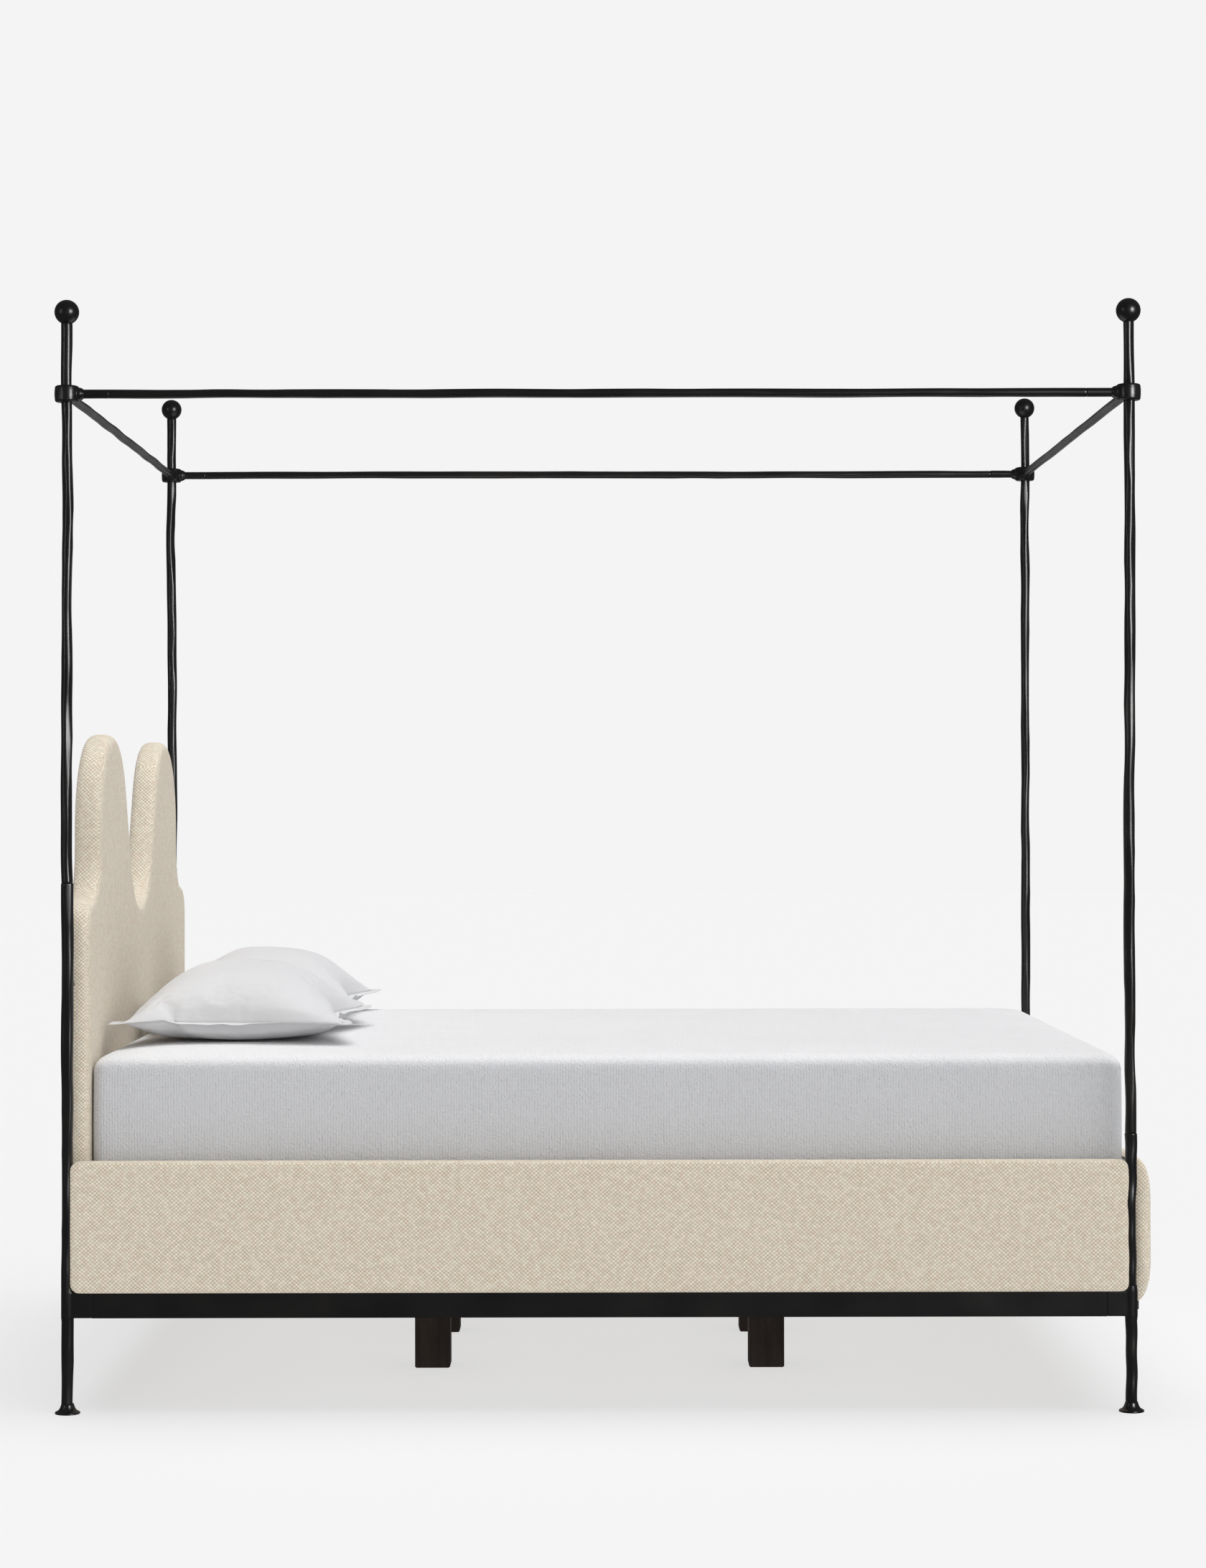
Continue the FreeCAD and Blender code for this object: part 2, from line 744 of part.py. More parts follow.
def side_panel(side, cutters):
    """A plank that stands in the side rail, and a cover over its outside, its top and a lip inside."""
    out = SIDES[side]
    core_middle = f"{out} * (sizes.side_core_outer + sizes.side_core_inner) / 2"
    core = new_body(f"side_core_{side}_body", MIDDLE_X, core_middle)
    plank = new_sketch(core, "XZ_Plane")
    end = "(sizes.post_spacing_long / 2 - sizes.side_core_end_gap)"
    notch = "(sizes.post_spacing_long / 2 - sizes.side_core_notch_reach)"
    polygon(
        plank,
        [
            (f"-{notch}", SLAT_BOTTOM),
            (notch, SLAT_BOTTOM),
            (notch, "sizes.side_core_notch_top"),
            (end, "sizes.side_core_notch_top"),
            (end, "sizes.side_core_top"),
            (f"-{end}", "sizes.side_core_top"),
            (f"-{end}", "sizes.side_core_notch_top"),
            (f"-{notch}", "sizes.side_core_notch_top"),
        ],
    )
    pad(core, plank, "sizes.side_core_outer - sizes.side_core_inner", midplane=True)
    keep(core, f"side_panel_core_{side}")

    cover = new_body(f"side_cover_{side}_body", "sizes.head_post_x + sizes.side_cover_head_gap")
    section = new_sketch(cover, "YZ_Plane")
    polygon(
        section,
        [
            (f"{out} * sizes.side_cover_outer", "sizes.side_cover_bottom"),
            (f"{out} * sizes.side_cover_outer", "sizes.side_cover_top"),
            (f"{out} * sizes.side_cover_inner", "sizes.side_cover_top"),
            (f"{out} * sizes.side_cover_inner", "sizes.side_cover_lip"),
            (f"{out} * sizes.side_core_inner", "sizes.side_cover_lip"),
            (f"{out} * sizes.side_core_inner", "sizes.side_core_top"),
            (f"{out} * sizes.side_core_outer", "sizes.side_core_top"),
            (f"{out} * sizes.side_core_outer", "sizes.side_cover_bottom"),
        ],
    )
    length = "sizes.post_spacing_long - sizes.side_cover_head_gap - sizes.side_cover_foot_gap"
    wrap = pad(cover, section, length)
    doc.recompute()
    outer_face = [
        name
        for name in faces_facing(wrap, Vector(0, 1, 0))
        if abs(abs(wrap.Shape.getElement(name).CenterOfMass.y) - value("sizes.side_cover_outer")) < 1
    ]
    fillet(cover, wrap, outer_face, "sizes.side_cover_edge_radius")
    keep(carved(f"side_panel_upholstery_{side}", cover, cutters), f"side_panel_upholstery_{side}")


# ---- slats, centre legs and bedding ----


def slats():
    """Boards across the side rails: one at each end, two over the centre legs and three between."""
    middle_offsets = [f"{step} * sizes.leg_pitch_long" for step in range(-2, 3)]
    offsets = ["-sizes.end_slat_offset"] + middle_offsets + ["sizes.end_slat_offset"]
    for number, offset in enumerate(offsets, 1):
        board = box(
            f"slat_{number}", "sizes.slat_width", "2 * sizes.slat_half_length", "sizes.slat_thickness",
            f"{MIDDLE_X} + {offset} - sizes.slat_width / 2", "-sizes.slat_half_length", SLAT_BOTTOM,
        )
        keep(board, f"slat_{number}")


def centre_leg(end, side):
    """A square wooden leg under a slat, chamfered round its foot."""
    name = f"centre_leg_{end}_{side}"
    x = f"{MIDDLE_X} - {ENDS[end]} * sizes.leg_pitch_long"
    body = new_body(name, x, f"{SIDES[side]} * sizes.leg_pitch_wide")
    square = new_sketch(body, "XY_Plane")
    rectangle(square, "sizes.leg_width / 2", "sizes.leg_width / 2")
    post = pad(body, square, SLAT_BOTTOM)
    doc.recompute()
    sole = [
        face
        for face in faces_facing(post, Vector(0, 0, 1))
        if post.Shape.getElement(face).CenterOfMass.z < 1
    ]
    chamfer = body.newObject("PartDesign::Chamfer", f"{name}_chamfer")
    chamfer.Base = (post, sole)
    chamfer.setExpression("Size", "sizes.leg_chamfer")
    body.Tip = chamfer
    keep(body, name)


def bedding_block(name, bottom, edge=None):
    """A foundation or mattress: a block with rounded corners, and rounded edges if edge is given."""
    body = new_body(name, f"sizes.{name}_centre_x", "0", bottom)
    outline = new_sketch(body, "XY_Plane")
    rectangle(outline, f"sizes.{name}_length / 2", f"sizes.{name}_width / 2")
    block = pad(body, outline, f"sizes.{name}_height")
    doc.recompute()
    rounded = fillet(body, block, edges_along(block, Vector(0, 0, 1)), f"sizes.{name}_corner")
    if edge:
        fillet(body, rounded, faces_facing(rounded, Vector(0, 0, 1)), edge)
    keep(body, name)


def sham(side, squeeze):
    """A plump pillow in a sham: widest at its seam, a smaller base and crown."""
    name = f"sham_{side}"
    body = new_body(
        name, f"sizes.{side}_sham_x", f"sizes.{side}_sham_y", f"{MATTRESS_TOP} + sizes.sham_gap"
    )
    sections = []
    for height, inset in (
        ("0", "sizes.sham_base_inset"),
        ("sizes.sham_seam_height", "0"),
        ("sizes.sham_thickness", "sizes.sham_crown_inset"),
    ):
        section = new_sketch(body, "XY_Plane", height)
        rectangle(
            section, f"(sizes.sham_length - {squeeze}) / 2 - {inset}", f"sizes.sham_width / 2 - {inset}"
        )
        sections.append(section)
    loft = body.newObject("PartDesign::AdditiveLoft", f"{name}_loft")
    loft.Profile = sections[0]
    loft.Sections = sections[1:]
    loft.Ruled = True
    body.Tip = loft
    keep(body, name)


post_bars = {}  # the lower posts' bars by end and side, to cut from what is welded or fitted to them
for end in ENDS:
    for side in SIDES:
        post_bars[end, side] = lower_post(end, side)
        upper_post(end, side)
        flared_foot(end, side)
        ball_finial(end, side)
        canopy_collar(end, side)
        rail_bracket(end, side, post_bars[end, side])
        centre_leg(end, side)

rooms = board_rooms()
for side, out in SIDES.items():
    canopy_bar(
        f"canopy_side_bar_{side}", "(sizes.post_spacing_long - 2 * sizes.canopy_seam)", MIDDLE_X,
        f"{out} * sizes.post_spacing_wide / 2", ALONG_X,
    )
    side_rail(side)
    rail_fasteners(side)
    side_panel(side, [post_bars["head", side], post_bars["foot", side]] + rooms)
for end in ENDS:
    canopy_bar(
        f"canopy_cross_bar_{end}", "(sizes.post_spacing_wide - 2 * sizes.canopy_seam)",
        f"sizes.{end}_post_x", "0", ALONG_Y,
    )
end_rail("head", "sizes.head_rail_back", "sizes.head_rail_front", "sizes.head_rail_back")
end_rail("foot", "sizes.foot_rail_back", "sizes.foot_rail_front", "sizes.foot_rail_back")

board_pins = panel_pins()
headboard(board_pins["head"])
footboard(board_pins["foot"])
all_pins = joined("all_panel_pins", board_pins["head"] + board_pins["foot"])
keep(carved("panel_pins", all_pins, list(post_bars.values())), "panel_pins")

slats()
bedding_block("foundation", FOUNDATION_BOTTOM)
bedding_block("mattress", MATTRESS_BOTTOM, "sizes.mattress_edge")
sham("near", "0")
sham("far", "sizes.sham_squeeze")

# ---- checks and files ----

doc.recompute()
failed = [thing.Label for thing in doc.Objects if {"Invalid", "Error"} & set(thing.State)]
if failed:
    raise RuntimeError(f"these objects failed to build: {failed}")
for piece in subparts:
    if piece.Shape.isNull() or not piece.Shape.isValid() or not piece.Shape.Solids:
        raise RuntimeError(f"{piece.Label} has no valid solid")

os.makedirs("parts", exist_ok=True)
for piece in subparts:
    piece.Shape.exportStep(f"parts/{piece.Label}.step")
print(f"{len(subparts)} sub-parts written")
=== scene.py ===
"""The looks of the four poster canopy bed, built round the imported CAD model, in metres and in its frame."""

import math

import bmesh
import bpy
import numpy as np
from mathutils import Matrix, Vector


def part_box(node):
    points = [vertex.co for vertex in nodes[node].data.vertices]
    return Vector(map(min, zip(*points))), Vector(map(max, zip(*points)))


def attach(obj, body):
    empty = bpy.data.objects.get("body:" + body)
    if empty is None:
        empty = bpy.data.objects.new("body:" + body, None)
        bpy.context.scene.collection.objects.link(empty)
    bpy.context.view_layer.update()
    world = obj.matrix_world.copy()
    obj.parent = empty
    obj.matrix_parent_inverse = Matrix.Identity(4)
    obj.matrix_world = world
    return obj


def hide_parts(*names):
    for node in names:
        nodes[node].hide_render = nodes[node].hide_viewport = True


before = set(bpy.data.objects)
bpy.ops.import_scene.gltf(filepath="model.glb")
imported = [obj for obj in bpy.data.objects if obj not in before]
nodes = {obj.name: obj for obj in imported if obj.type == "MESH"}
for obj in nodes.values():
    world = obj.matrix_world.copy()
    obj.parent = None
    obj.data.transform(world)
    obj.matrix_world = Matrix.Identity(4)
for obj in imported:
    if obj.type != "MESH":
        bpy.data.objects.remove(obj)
scene = bpy.context.scene
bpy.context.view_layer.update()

ENDS = {"head": 1, "foot": -1}  # which way along X the bed lies from the posts of that end
SIDES = {"near": -1, "far": 1}
FULL_TURN = 2 * math.pi

# ---- camera ----
# level and square to the bed's side, but for the small turns that bring its lines onto the photograph's

camera_data = bpy.data.cameras.new("camera")
camera_data.lens = 77.385
camera_data.sensor_width = 36
camera = bpy.data.objects.new("camera", camera_data)
scene.collection.objects.link(camera)
scene.camera = camera
camera.matrix_world = (
    Matrix.Translation((-0.0054, -7.5155, 1.1976))
    @ Matrix.Rotation(math.radians(-0.0545), 4, "Z")
    @ Matrix.Rotation(math.radians(0.4222), 4, "X")
    @ Matrix.Rotation(math.radians(0.1073), 4, "Y")
    @ Matrix.Rotation(math.radians(90), 4, "X")
)

# ---- materials ----


class Finish:
    """A Principled material, and short ways to add the nodes that feed it."""

    def __init__(self, name, **values):
        self.material = bpy.data.materials.new(name)
        self.material.use_nodes = True
        self.tree = self.material.node_tree
        self.shader = self.tree.nodes["Principled BSDF"]
        for socket, value in values.items():
            self.shader.inputs[socket.replace("_", " ")].default_value = value

    def node(self, kind, *values, **settings):
        """A node with its inputs in order, each a number, a colour or another node's output."""
        node = self.tree.nodes.new("ShaderNode" + kind)
        for setting, value in settings.items():
            setattr(node, setting, value)
        for socket, value in zip(node.inputs, values):
            self.feed(socket, value)
        return node

    def feed(self, socket, value):
        """Links an output to a socket, or sets the socket to a value."""
        if isinstance(value, bpy.types.NodeSocket):
            self.tree.links.new(value, socket)
        elif value is not None:
            socket.default_value = value

    def math(self, operation, *values):
        return self.node("Math", *values, operation=operation).outputs[0]

    def coordinates(self, kind="Object"):
        return self.node("TexCoord").outputs[kind]

    def stretched(self, vector, scale):
        mapping = self.node("Mapping", vector)
        mapping.inputs["Scale"].default_value = scale
        return mapping.outputs[0]

    def noise(self, vector, scale, detail=3, roughness=0.55):
        noise = self.node("TexNoise", vector)
        noise.inputs["Scale"].default_value = scale
        noise.inputs["Detail"].default_value = detail
        noise.inputs["Roughness"].default_value = roughness
        return noise.outputs["Fac"]

    def ramp(self, value, *stops):
        """A colour ramp with (position, colour) stops."""
        ramp = self.node("ValToRGB", value)
        elements = ramp.color_ramp.elements
        while len(elements) < len(stops):
            elements.new(0.5)
        for element, (position, colour) in zip(elements, stops):
            element.position = position
            element.color = (*colour, 1)
        return ramp.outputs[0]

    def span(self, value, low, high):
        """A value from 0 to 1 spread over low to high."""
        spread = self.node("MapRange", value)
        spread.inputs["To Min"].default_value = low
        spread.inputs["To Max"].default_value = high
        return spread.outputs[0]

    def mix(self, factor, first, second, blend="MIX"):
        mix = self.node("Mix", data_type="RGBA", blend_type=blend)
        for socket, value in zip([mix.inputs[0], mix.inputs[6], mix.inputs[7]], [factor, first, second]):
            self.feed(socket, value)
        return mix.outputs[2]

    def bump(self, height, distance, under=None):
        bump = self.node("Bump")
        bump.inputs["Distance"].default_value = distance
        self.feed(bump.inputs["Height"], height)
        self.feed(bump.inputs["Normal"], under)
        return bump.outputs[0]

    def set(self, **sources):
        """Feeds the shader's own sockets and gives back the finished material."""
        for socket, source in sources.items():
            self.feed(self.shader.inputs[socket.replace("_", " ")], source)
        return self.material


def forged_iron():
    """Blackened iron: satin, waxed, with slow changes of sheen and a faint brown warmth here and there."""
    iron = Finish("forged_iron_finish", Metallic=0.0, Specular_IOR_Level=0.5)
    place = iron.coordinates()
    patches = iron.noise(place, 7, 2)
    colour = iron.ramp(
        patches,
        (0.30, (0.0040, 0.0040, 0.0042)),
        (0.55, (0.0060, 0.0059, 0.0060)),
        (0.75, (0.0100, 0.0088, 0.0078)),
    )
    roughness = iron.span(iron.noise(place, 11, 1), 0.24, 0.36)
    return iron.set(Base_Color=colour, Roughness=roughness, Normal=iron.bump(patches, 0.0015))


WEAVE_CELL = 0.0060
STRAND_ROUND = 1.15  # how sharply a strand falls to its sides
STRAND_END = 0.42  # and to its ends, where it dives under its neighbours
RIB_SPACING = 0.0056
STITCH_SPACING = 0.0026
THREAD_SPACING = 0.0011
STRIPE_SPACING = 0.018


def woven_upholstery():
    """A chunky cream basket weave laid on the bias: each cell is one strand that passes over the other."""
    weave = Finish("woven_upholstery_finish", Roughness=0.92, Specular_IOR_Level=0.25, Sheen_Weight=0.2,
                   Sheen_Roughness=0.5)
    lay = weave.node("SeparateXYZ", weave.coordinates("UV"))
    wander = weave.noise(weave.coordinates("UV"), 45, 2)
    drawn = weave.math("MULTIPLY", wander, 0.0025)
    across = weave.math("ADD", lay.outputs[0], drawn)
    along = weave.math("MULTIPLY_ADD", lay.outputs[1], 1.12, drawn)
    cells, middles = [], []
    for operation in ("ADD", "SUBTRACT"):
        bias = weave.math("MULTIPLY", weave.math(operation, across, along), 0.7071 / WEAVE_CELL)
        cells.append(weave.math("FLOOR", bias))
        inside = weave.math("SUBTRACT", weave.math("SUBTRACT", bias, cells[-1]), 0.5)
        middles.append(weave.math("COSINE", weave.math("MULTIPLY", inside, math.pi)))
    over = weave.math("FLOORED_MODULO", weave.math("ADD", *cells), 2.0)
    strands = []
    for crosswise, lengthwise in (middles, middles[::-1]):
        rounding = weave.math("POWER", crosswise, STRAND_ROUND)
        strands.append(weave.math("MULTIPLY", rounding, weave.math("POWER", lengthwise, STRAND_END)))
    height = weave.math("ADD", weave.math("MULTIPLY", over, strands[0]),
                        weave.math("MULTIPLY", weave.math("SUBTRACT", 1.0, over), strands[1]))

    cell = weave.node("CombineXYZ", *cells).outputs[0]
    chance = weave.node("TexWhiteNoise", cell, noise_dimensions="2D").outputs["Value"]
    tufts = weave.noise(weave.coordinates("UV"), 60, 3)
    yarn = weave.mix(chance, (0.90, 0.835, 0.70, 1), (0.82, 0.738, 0.595, 1))
    # Between the strands, where they dive under each other, the colour turns darker and tan-pink: partly the
    # flecked yarn's own colour, partly painted shade in the gaps.
    gap = weave.ramp(height, (0.08, (1, 1, 1)), (0.62, (0, 0, 0)))
    pink = weave.ramp(tufts, (0.42, (0, 0, 0)), (0.62, (1, 1, 1)))
    gap_fleck_and_shade = weave.mix(pink, (0.46, 0.385, 0.27, 1), (0.53, 0.345, 0.24, 1))
    depth = weave.math("MULTIPLY", gap, weave.math("MULTIPLY_ADD", chance, 0.4, 0.55))
    colour = weave.mix(depth, yarn, gap_fleck_and_shade)
    fuzz = weave.noise(weave.coordinates("UV"), 1500, 2)
    bump = weave.bump(height, 0.0009, weave.bump(fuzz, 0.0003, weave.bump(tufts, 0.0016)))
    return weave.set(Base_Color=colour, Normal=bump)


def grained_wood(name, dark, light, grain, roughness):
    """Wood with its grain along the axis that has the smallest number in grain."""
    wood = Finish(name, Specular_IOR_Level=0.4)
    place = wood.stretched(wood.coordinates(), grain)
    rings = wood.noise(place, 1, 5, 0.6)
    pores = wood.noise(place, 6, 3)
    between = tuple((a + b) / 2 for a, b in zip(dark, light))
    colour = wood.ramp(rings, (0.30, dark), (0.50, between), (0.68, light))
    colour = wood.mix(wood.math("MULTIPLY", pores, 0.35), colour, (*dark, 1))
    return wood.set(
        Base_Color=colour,
        Roughness=wood.span(pores, roughness - 0.1, roughness + 0.1),
        Normal=wood.bump(pores, 0.0004),
    )


def mattress_knit():
    """White stretch knit: ribs that run up the sides, and a fine smooth face on the top."""
    knit = Finish("mattress_knit_finish", Roughness=0.88, Specular_IOR_Level=0.3, Sheen_Weight=0.2,
                  Sheen_Roughness=0.4)
    lay = knit.node("SeparateXYZ", knit.coordinates("UV"))
    facing = knit.node("SeparateXYZ", knit.node("NewGeometry").outputs["Normal"])
    up = knit.math("ABSOLUTE", facing.outputs[2])
    side = knit.ramp(up, (0.35, (1, 1, 1)), (0.75, (0, 0, 0)))
    rib = knit.math("SINE", knit.math("MULTIPLY", lay.outputs[0], FULL_TURN / RIB_SPACING))
    stitch = knit.math("SINE", knit.math("MULTIPLY", lay.outputs[1], FULL_TURN / STITCH_SPACING))
    stitch = knit.math("MULTIPLY_ADD", stitch, 0.25, knit.math("MULTIPLY", rib, side))
    cloud = knit.noise(knit.coordinates(), 9, 3)
    colour = knit.mix(cloud, (0.86, 0.86, 0.872, 1), (0.81, 0.81, 0.824, 1))
    groove_shade_patches = knit.noise(knit.coordinates(), 55, 3)
    # Painted shade: the upright sides are painted darker than the top, as they get less light.
    colour = knit.mix(knit.math("MULTIPLY", side, 0.5), colour, (0.52, 0.53, 0.56, 1))
    # Painted shade in the grooves between the side ribs, made patchy by a noise.
    groove = knit.math("MULTIPLY", knit.math("MULTIPLY", knit.span(rib, 0.09, 0.0), side), groove_shade_patches)
    colour = knit.mix(groove, colour, (0.50, 0.51, 0.53, 1))
    fluff = knit.bump(knit.noise(knit.coordinates(), 240, 3), 0.0036)
    bump = knit.bump(stitch, 0.00026, fluff)
    return knit.set(Base_Color=colour, Normal=bump)


def sham_cotton():
    """White percale: a fine plain weave with soft creases pressed into it."""
    cotton = Finish("sham_cotton_finish", Roughness=0.85, Specular_IOR_Level=0.25, Sheen_Weight=0.25,
                    Sheen_Roughness=0.35)
    place = cotton.coordinates()
    parts = cotton.node("SeparateXYZ", place)
    warp = cotton.math("SINE", cotton.math("MULTIPLY", parts.outputs[0], FULL_TURN / THREAD_SPACING))
    weft = cotton.math("SINE", cotton.math("MULTIPLY", parts.outputs[1], FULL_TURN / THREAD_SPACING))
    threads = cotton.math("MULTIPLY", warp, weft)
    creases = cotton.noise(cotton.stretched(place, (1.0, 1.6, 2.0)), 14, 5, 0.5)
    cloud = cotton.noise(place, 6, 2)
    colour = cotton.mix(cloud, (0.735, 0.735, 0.748, 1), (0.695, 0.697, 0.713, 1))
    bump = cotton.bump(threads, 0.00012, cotton.bump(creases, 0.003))
    return cotton.set(Base_Color=colour, Normal=bump)


def striped_ticking():
    """The foundation's plain cotton ticking: off white with a fine woven stripe."""
    ticking = Finish("foundation_ticking_finish", Roughness=0.9, Specular_IOR_Level=0.25)
    lay = ticking.node("SeparateXYZ", ticking.coordinates("UV"))
    stripe = ticking.math("SINE", ticking.math("MULTIPLY", lay.outputs[0], FULL_TURN / STRIPE_SPACING))
    level = ticking.span(stripe, 0.5, 1.0)
    colour = ticking.ramp(level, (0.72, (0.78, 0.775, 0.76)), (0.90, (0.60, 0.595, 0.585)))
    threads = ticking.noise(ticking.stretched(ticking.coordinates(), (1, 1, 0.25)), 900, 2)
    return ticking.set(Base_Color=colour, Normal=ticking.bump(threads, 0.0004))


finishes = {
    "forged_iron": forged_iron(),
    "woven_upholstery": woven_upholstery(),
    "core_board": grained_wood("core_board_finish", (0.36, 0.25, 0.15), (0.58, 0.44, 0.29), (9, 9, 60), 0.65),
    "leg_wood": grained_wood(
        "leg_wood_finish", (0.012, 0.008, 0.006), (0.030, 0.019, 0.014), (70, 70, 6), 0.45
    ),
    "slat_wood": grained_wood("slat_wood_finish", (0.46, 0.33, 0.20), (0.70, 0.56, 0.39), (70, 6, 70), 0.6),
    "foundation_ticking": striped_ticking(),
    "mattress_knit": mattress_knit(),
    "sham_cotton": sham_cotton(),
}
CAD_FINISHES = {
    "side_rail": "forged_iron",
    "head_rail": "forged_iron",
    "foot_rail": "forged_iron",
    "rail_bolts": "forged_iron",
    "panel_pins": "forged_iron",
    "slat": "slat_wood",
    "centre_leg": "leg_wood",
    "headboard_core": "leg_wood",
    "footboard_core": "leg_wood",
    "side_panel_core": "core_board",
}
for node_name, node in nodes.items():
    for start, finish in CAD_FINISHES.items():
        if node_name.startswith(start):
            node.data.materials.clear()
            node.data.materials.append(finishes[finish])


def add_piece(name, mesh, slot, body, replaced):
    """Puts a finished mesh in the scene as a smooth piece that rides on a body and stands for CAD nodes."""
    piece = bpy.data.objects.new(name, mesh)
    scene.collection.objects.link(piece)
    mesh.shade_smooth()
    mesh.materials.clear()
    mesh.materials.append(finishes[slot])
    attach(piece, body)
    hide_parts(*replaced)
    return piece


# ---- forged iron ----

RING_SPACING = 0.004
BAR_SEGMENTS = 36
TURNED_SEGMENTS = 48
BAR_BLOWS = (  # seed step, spacing, half lengths and depths: many short blows, then a few long ones
    (0, 0.03, (0.035, 0.075), (0.08, 0.20)),
    (500, 0.09, (0.07, 0.13), (0.16, 0.26)),
)
EASING_ROUNDS = 6
END_DRAW = 0.09  # how much of its radius a bar loses at its very ends
WANDER = 0.07  # how far a bar's middle line strays, as a share of its radius
LOWER_POST_RADIUS = 0.01235
UPPER_POST_RADIUS = 0.01135


def middle_of(node_name):
    """The middle of a CAD node's box."""
    low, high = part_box(node_name)
    return (low + high) / 2


FLAT_LIMIT = 0.3  # the cosine at which a flat stops reaching round a bar


def hammer(radii, heights, seed, blow_spacing, half_lengths, depths):
    """Cuts lens-shaped hammer flats into a bar that is given as radii by ring and by angle."""
    rng = np.random.default_rng(seed)
    angles = np.linspace(0, FULL_TURN, radii.shape[1], endpoint=False)
    length = heights[-1] - heights[0]
    for _ in range(int(length / blow_spacing)):
        middle = heights[0] + rng.uniform(0, length)
        angle = rng.uniform(0, FULL_TURN)
        half = rng.uniform(*half_lengths)
        depth = rng.uniform(*depths)
        struck = np.abs(heights - middle) < half
        flat = 1 - depth * (1 - ((heights[struck] - middle) / half) ** 2)
        reach = np.maximum(np.cos(angles - angle), FLAT_LIMIT)
        cut = radii[struck].max(axis=1, keepdims=True) * flat[:, None] / reach[None, :]
        radii[struck] = np.minimum(radii[struck], cut)


def eased(radii, rounds):
    """Radii by ring and by angle, evened out between neighbours so that no crease stays sharp."""
    for _ in range(rounds):
        around = (np.roll(radii, 1, axis=1) + np.roll(radii, -1, axis=1)) / 2
        ends = np.pad(radii, ((1, 1), (0, 0)), mode="edge")
        radii = (2 * radii + around + (ends[:-2] + ends[2:]) / 2) / 4
    return radii


def turned(heights, radii, centres):
    """Points and faces of a closed bar along Z, from its radii by ring and by angle."""
    rings, segments = radii.shape
    angles = np.linspace(0, FULL_TURN, segments, endpoint=False)
    points = np.stack(
        [
            radii * np.cos(angles) + centres[:, :1],
            radii * np.sin(angles) + centres[:, 1:],
            np.repeat(heights[:, None], segments, axis=1),
        ],
        axis=-1,
    ).reshape(-1, 3)
    faces = []
    for ring in range(rings - 1):
        for segment in range(segments):
            after = (segment + 1) % segments
            low, high = ring * segments, (ring + 1) * segments
            faces.append((low + segment, low + after, high + after, high + segment))
    faces.append(tuple(range(segments))[::-1])
    faces.append(tuple(range((rings - 1) * segments, rings * segments)))
    return points, faces


def placed(points, start, axis):
    """Turns a bar along Z so that it runs along an axis from start."""
    turn = {"X": points[:, [2, 0, 1]], "Y": points[:, [1, 2, 0]], "Z": points}[axis]
    return turn + np.array(start)


def new_mesh(name, points, faces):
    """A mesh from its points and faces."""
    mesh = bpy.data.meshes.new(name)
    mesh.from_pydata([tuple(point) for point in points], [], faces)
    mesh.update()
    return mesh


def drift(heights, seed, reach):
    """A slow wander of a bar's middle line, nothing at its ends."""
    rng = np.random.default_rng(seed)
    along = (heights - heights[0]) / (heights[-1] - heights[0])
    centres = np.zeros((len(heights), 2))
    for turns in (2, 5, 9, 14):
        for side in (0, 1):
            centres[:, side] += rng.normal() * reach * np.sin(along * math.pi * turns)
    return centres


def forged_bar(name, replaced, start, axis, length, radius, seed, liveliness=1.0, rounded=0.0016):
    """A hammered bar with eased ends. The liveliness scales how deep the blows are and how far it wanders."""
    heights = np.linspace(0, length, int(length / RING_SPACING) + 1)
    end_rings = [rounded * 0.3, rounded, length - rounded, length - rounded * 0.3]
    heights = np.sort(np.concatenate([heights, end_rings]))
    radii = np.full((len(heights), BAR_SEGMENTS), radius)
    for seed_step, spacing, half_lengths, depths in BAR_BLOWS:
        scaled = [depth * liveliness for depth in depths]
        hammer(radii, heights, seed + seed_step, spacing, half_lengths, scaled)
    radii = eased(radii, EASING_ROUNDS)
    from_end = np.minimum(heights, length - heights)
    ease = 1 - END_DRAW * np.clip(1 - from_end / rounded, 0, 1) ** 2
    centres = drift(heights, seed + 900, radius * WANDER * liveliness)
    points, faces = turned(heights, radii * ease[:, None], centres)
    mesh = new_mesh(name, placed(points, start, axis), faces)
    return add_piece(name, mesh, "forged_iron", "frame", [replaced])


def turned_piece(name, replaced, middle, profile, seed, depths, blow_spacing):
    """A short turned piece from its (radius, height) profile, dressed with a hammer."""
    heights = np.array([height for _, height in profile])
    radii = np.repeat(np.array([[radius] for radius, _ in profile]), TURNED_SEGMENTS, axis=1)
    hammer(radii, heights, seed, blow_spacing, (0.006, 0.014), depths)
    points, faces = turned(heights, radii, np.zeros((len(heights), 2)))
    mesh = new_mesh(name, placed(points, middle, "Z"), faces)
    return add_piece(name, mesh, "forged_iron", "frame", [replaced])


def arc_profile(radius, middle_height, start, end, steps):
    """A (radius, height) run round a ball from one angle above the horizon to another."""
    return [
        (radius * math.cos(angle), middle_height + radius * math.sin(angle))
        for angle in np.linspace(start, end, steps)
    ]


def fused(name, parts, voxel, smoothing):
    """One skin over several closed parts, blended where they meet like a weld."""
    bm = bmesh.new()
    for points, faces in parts:
        corners = [bm.verts.new(point) for point in points]
        for face in faces:
            if len(set(face)) > 2:
                bm.faces.new([corners[index] for index in face])
    bmesh.ops.remove_doubles(bm, verts=bm.verts, dist=2e-5)
    mesh = bpy.data.meshes.new(name + "_parts")
    bm.to_mesh(mesh)
    bm.free()
    return remeshed(name, mesh, voxel, smoothing)


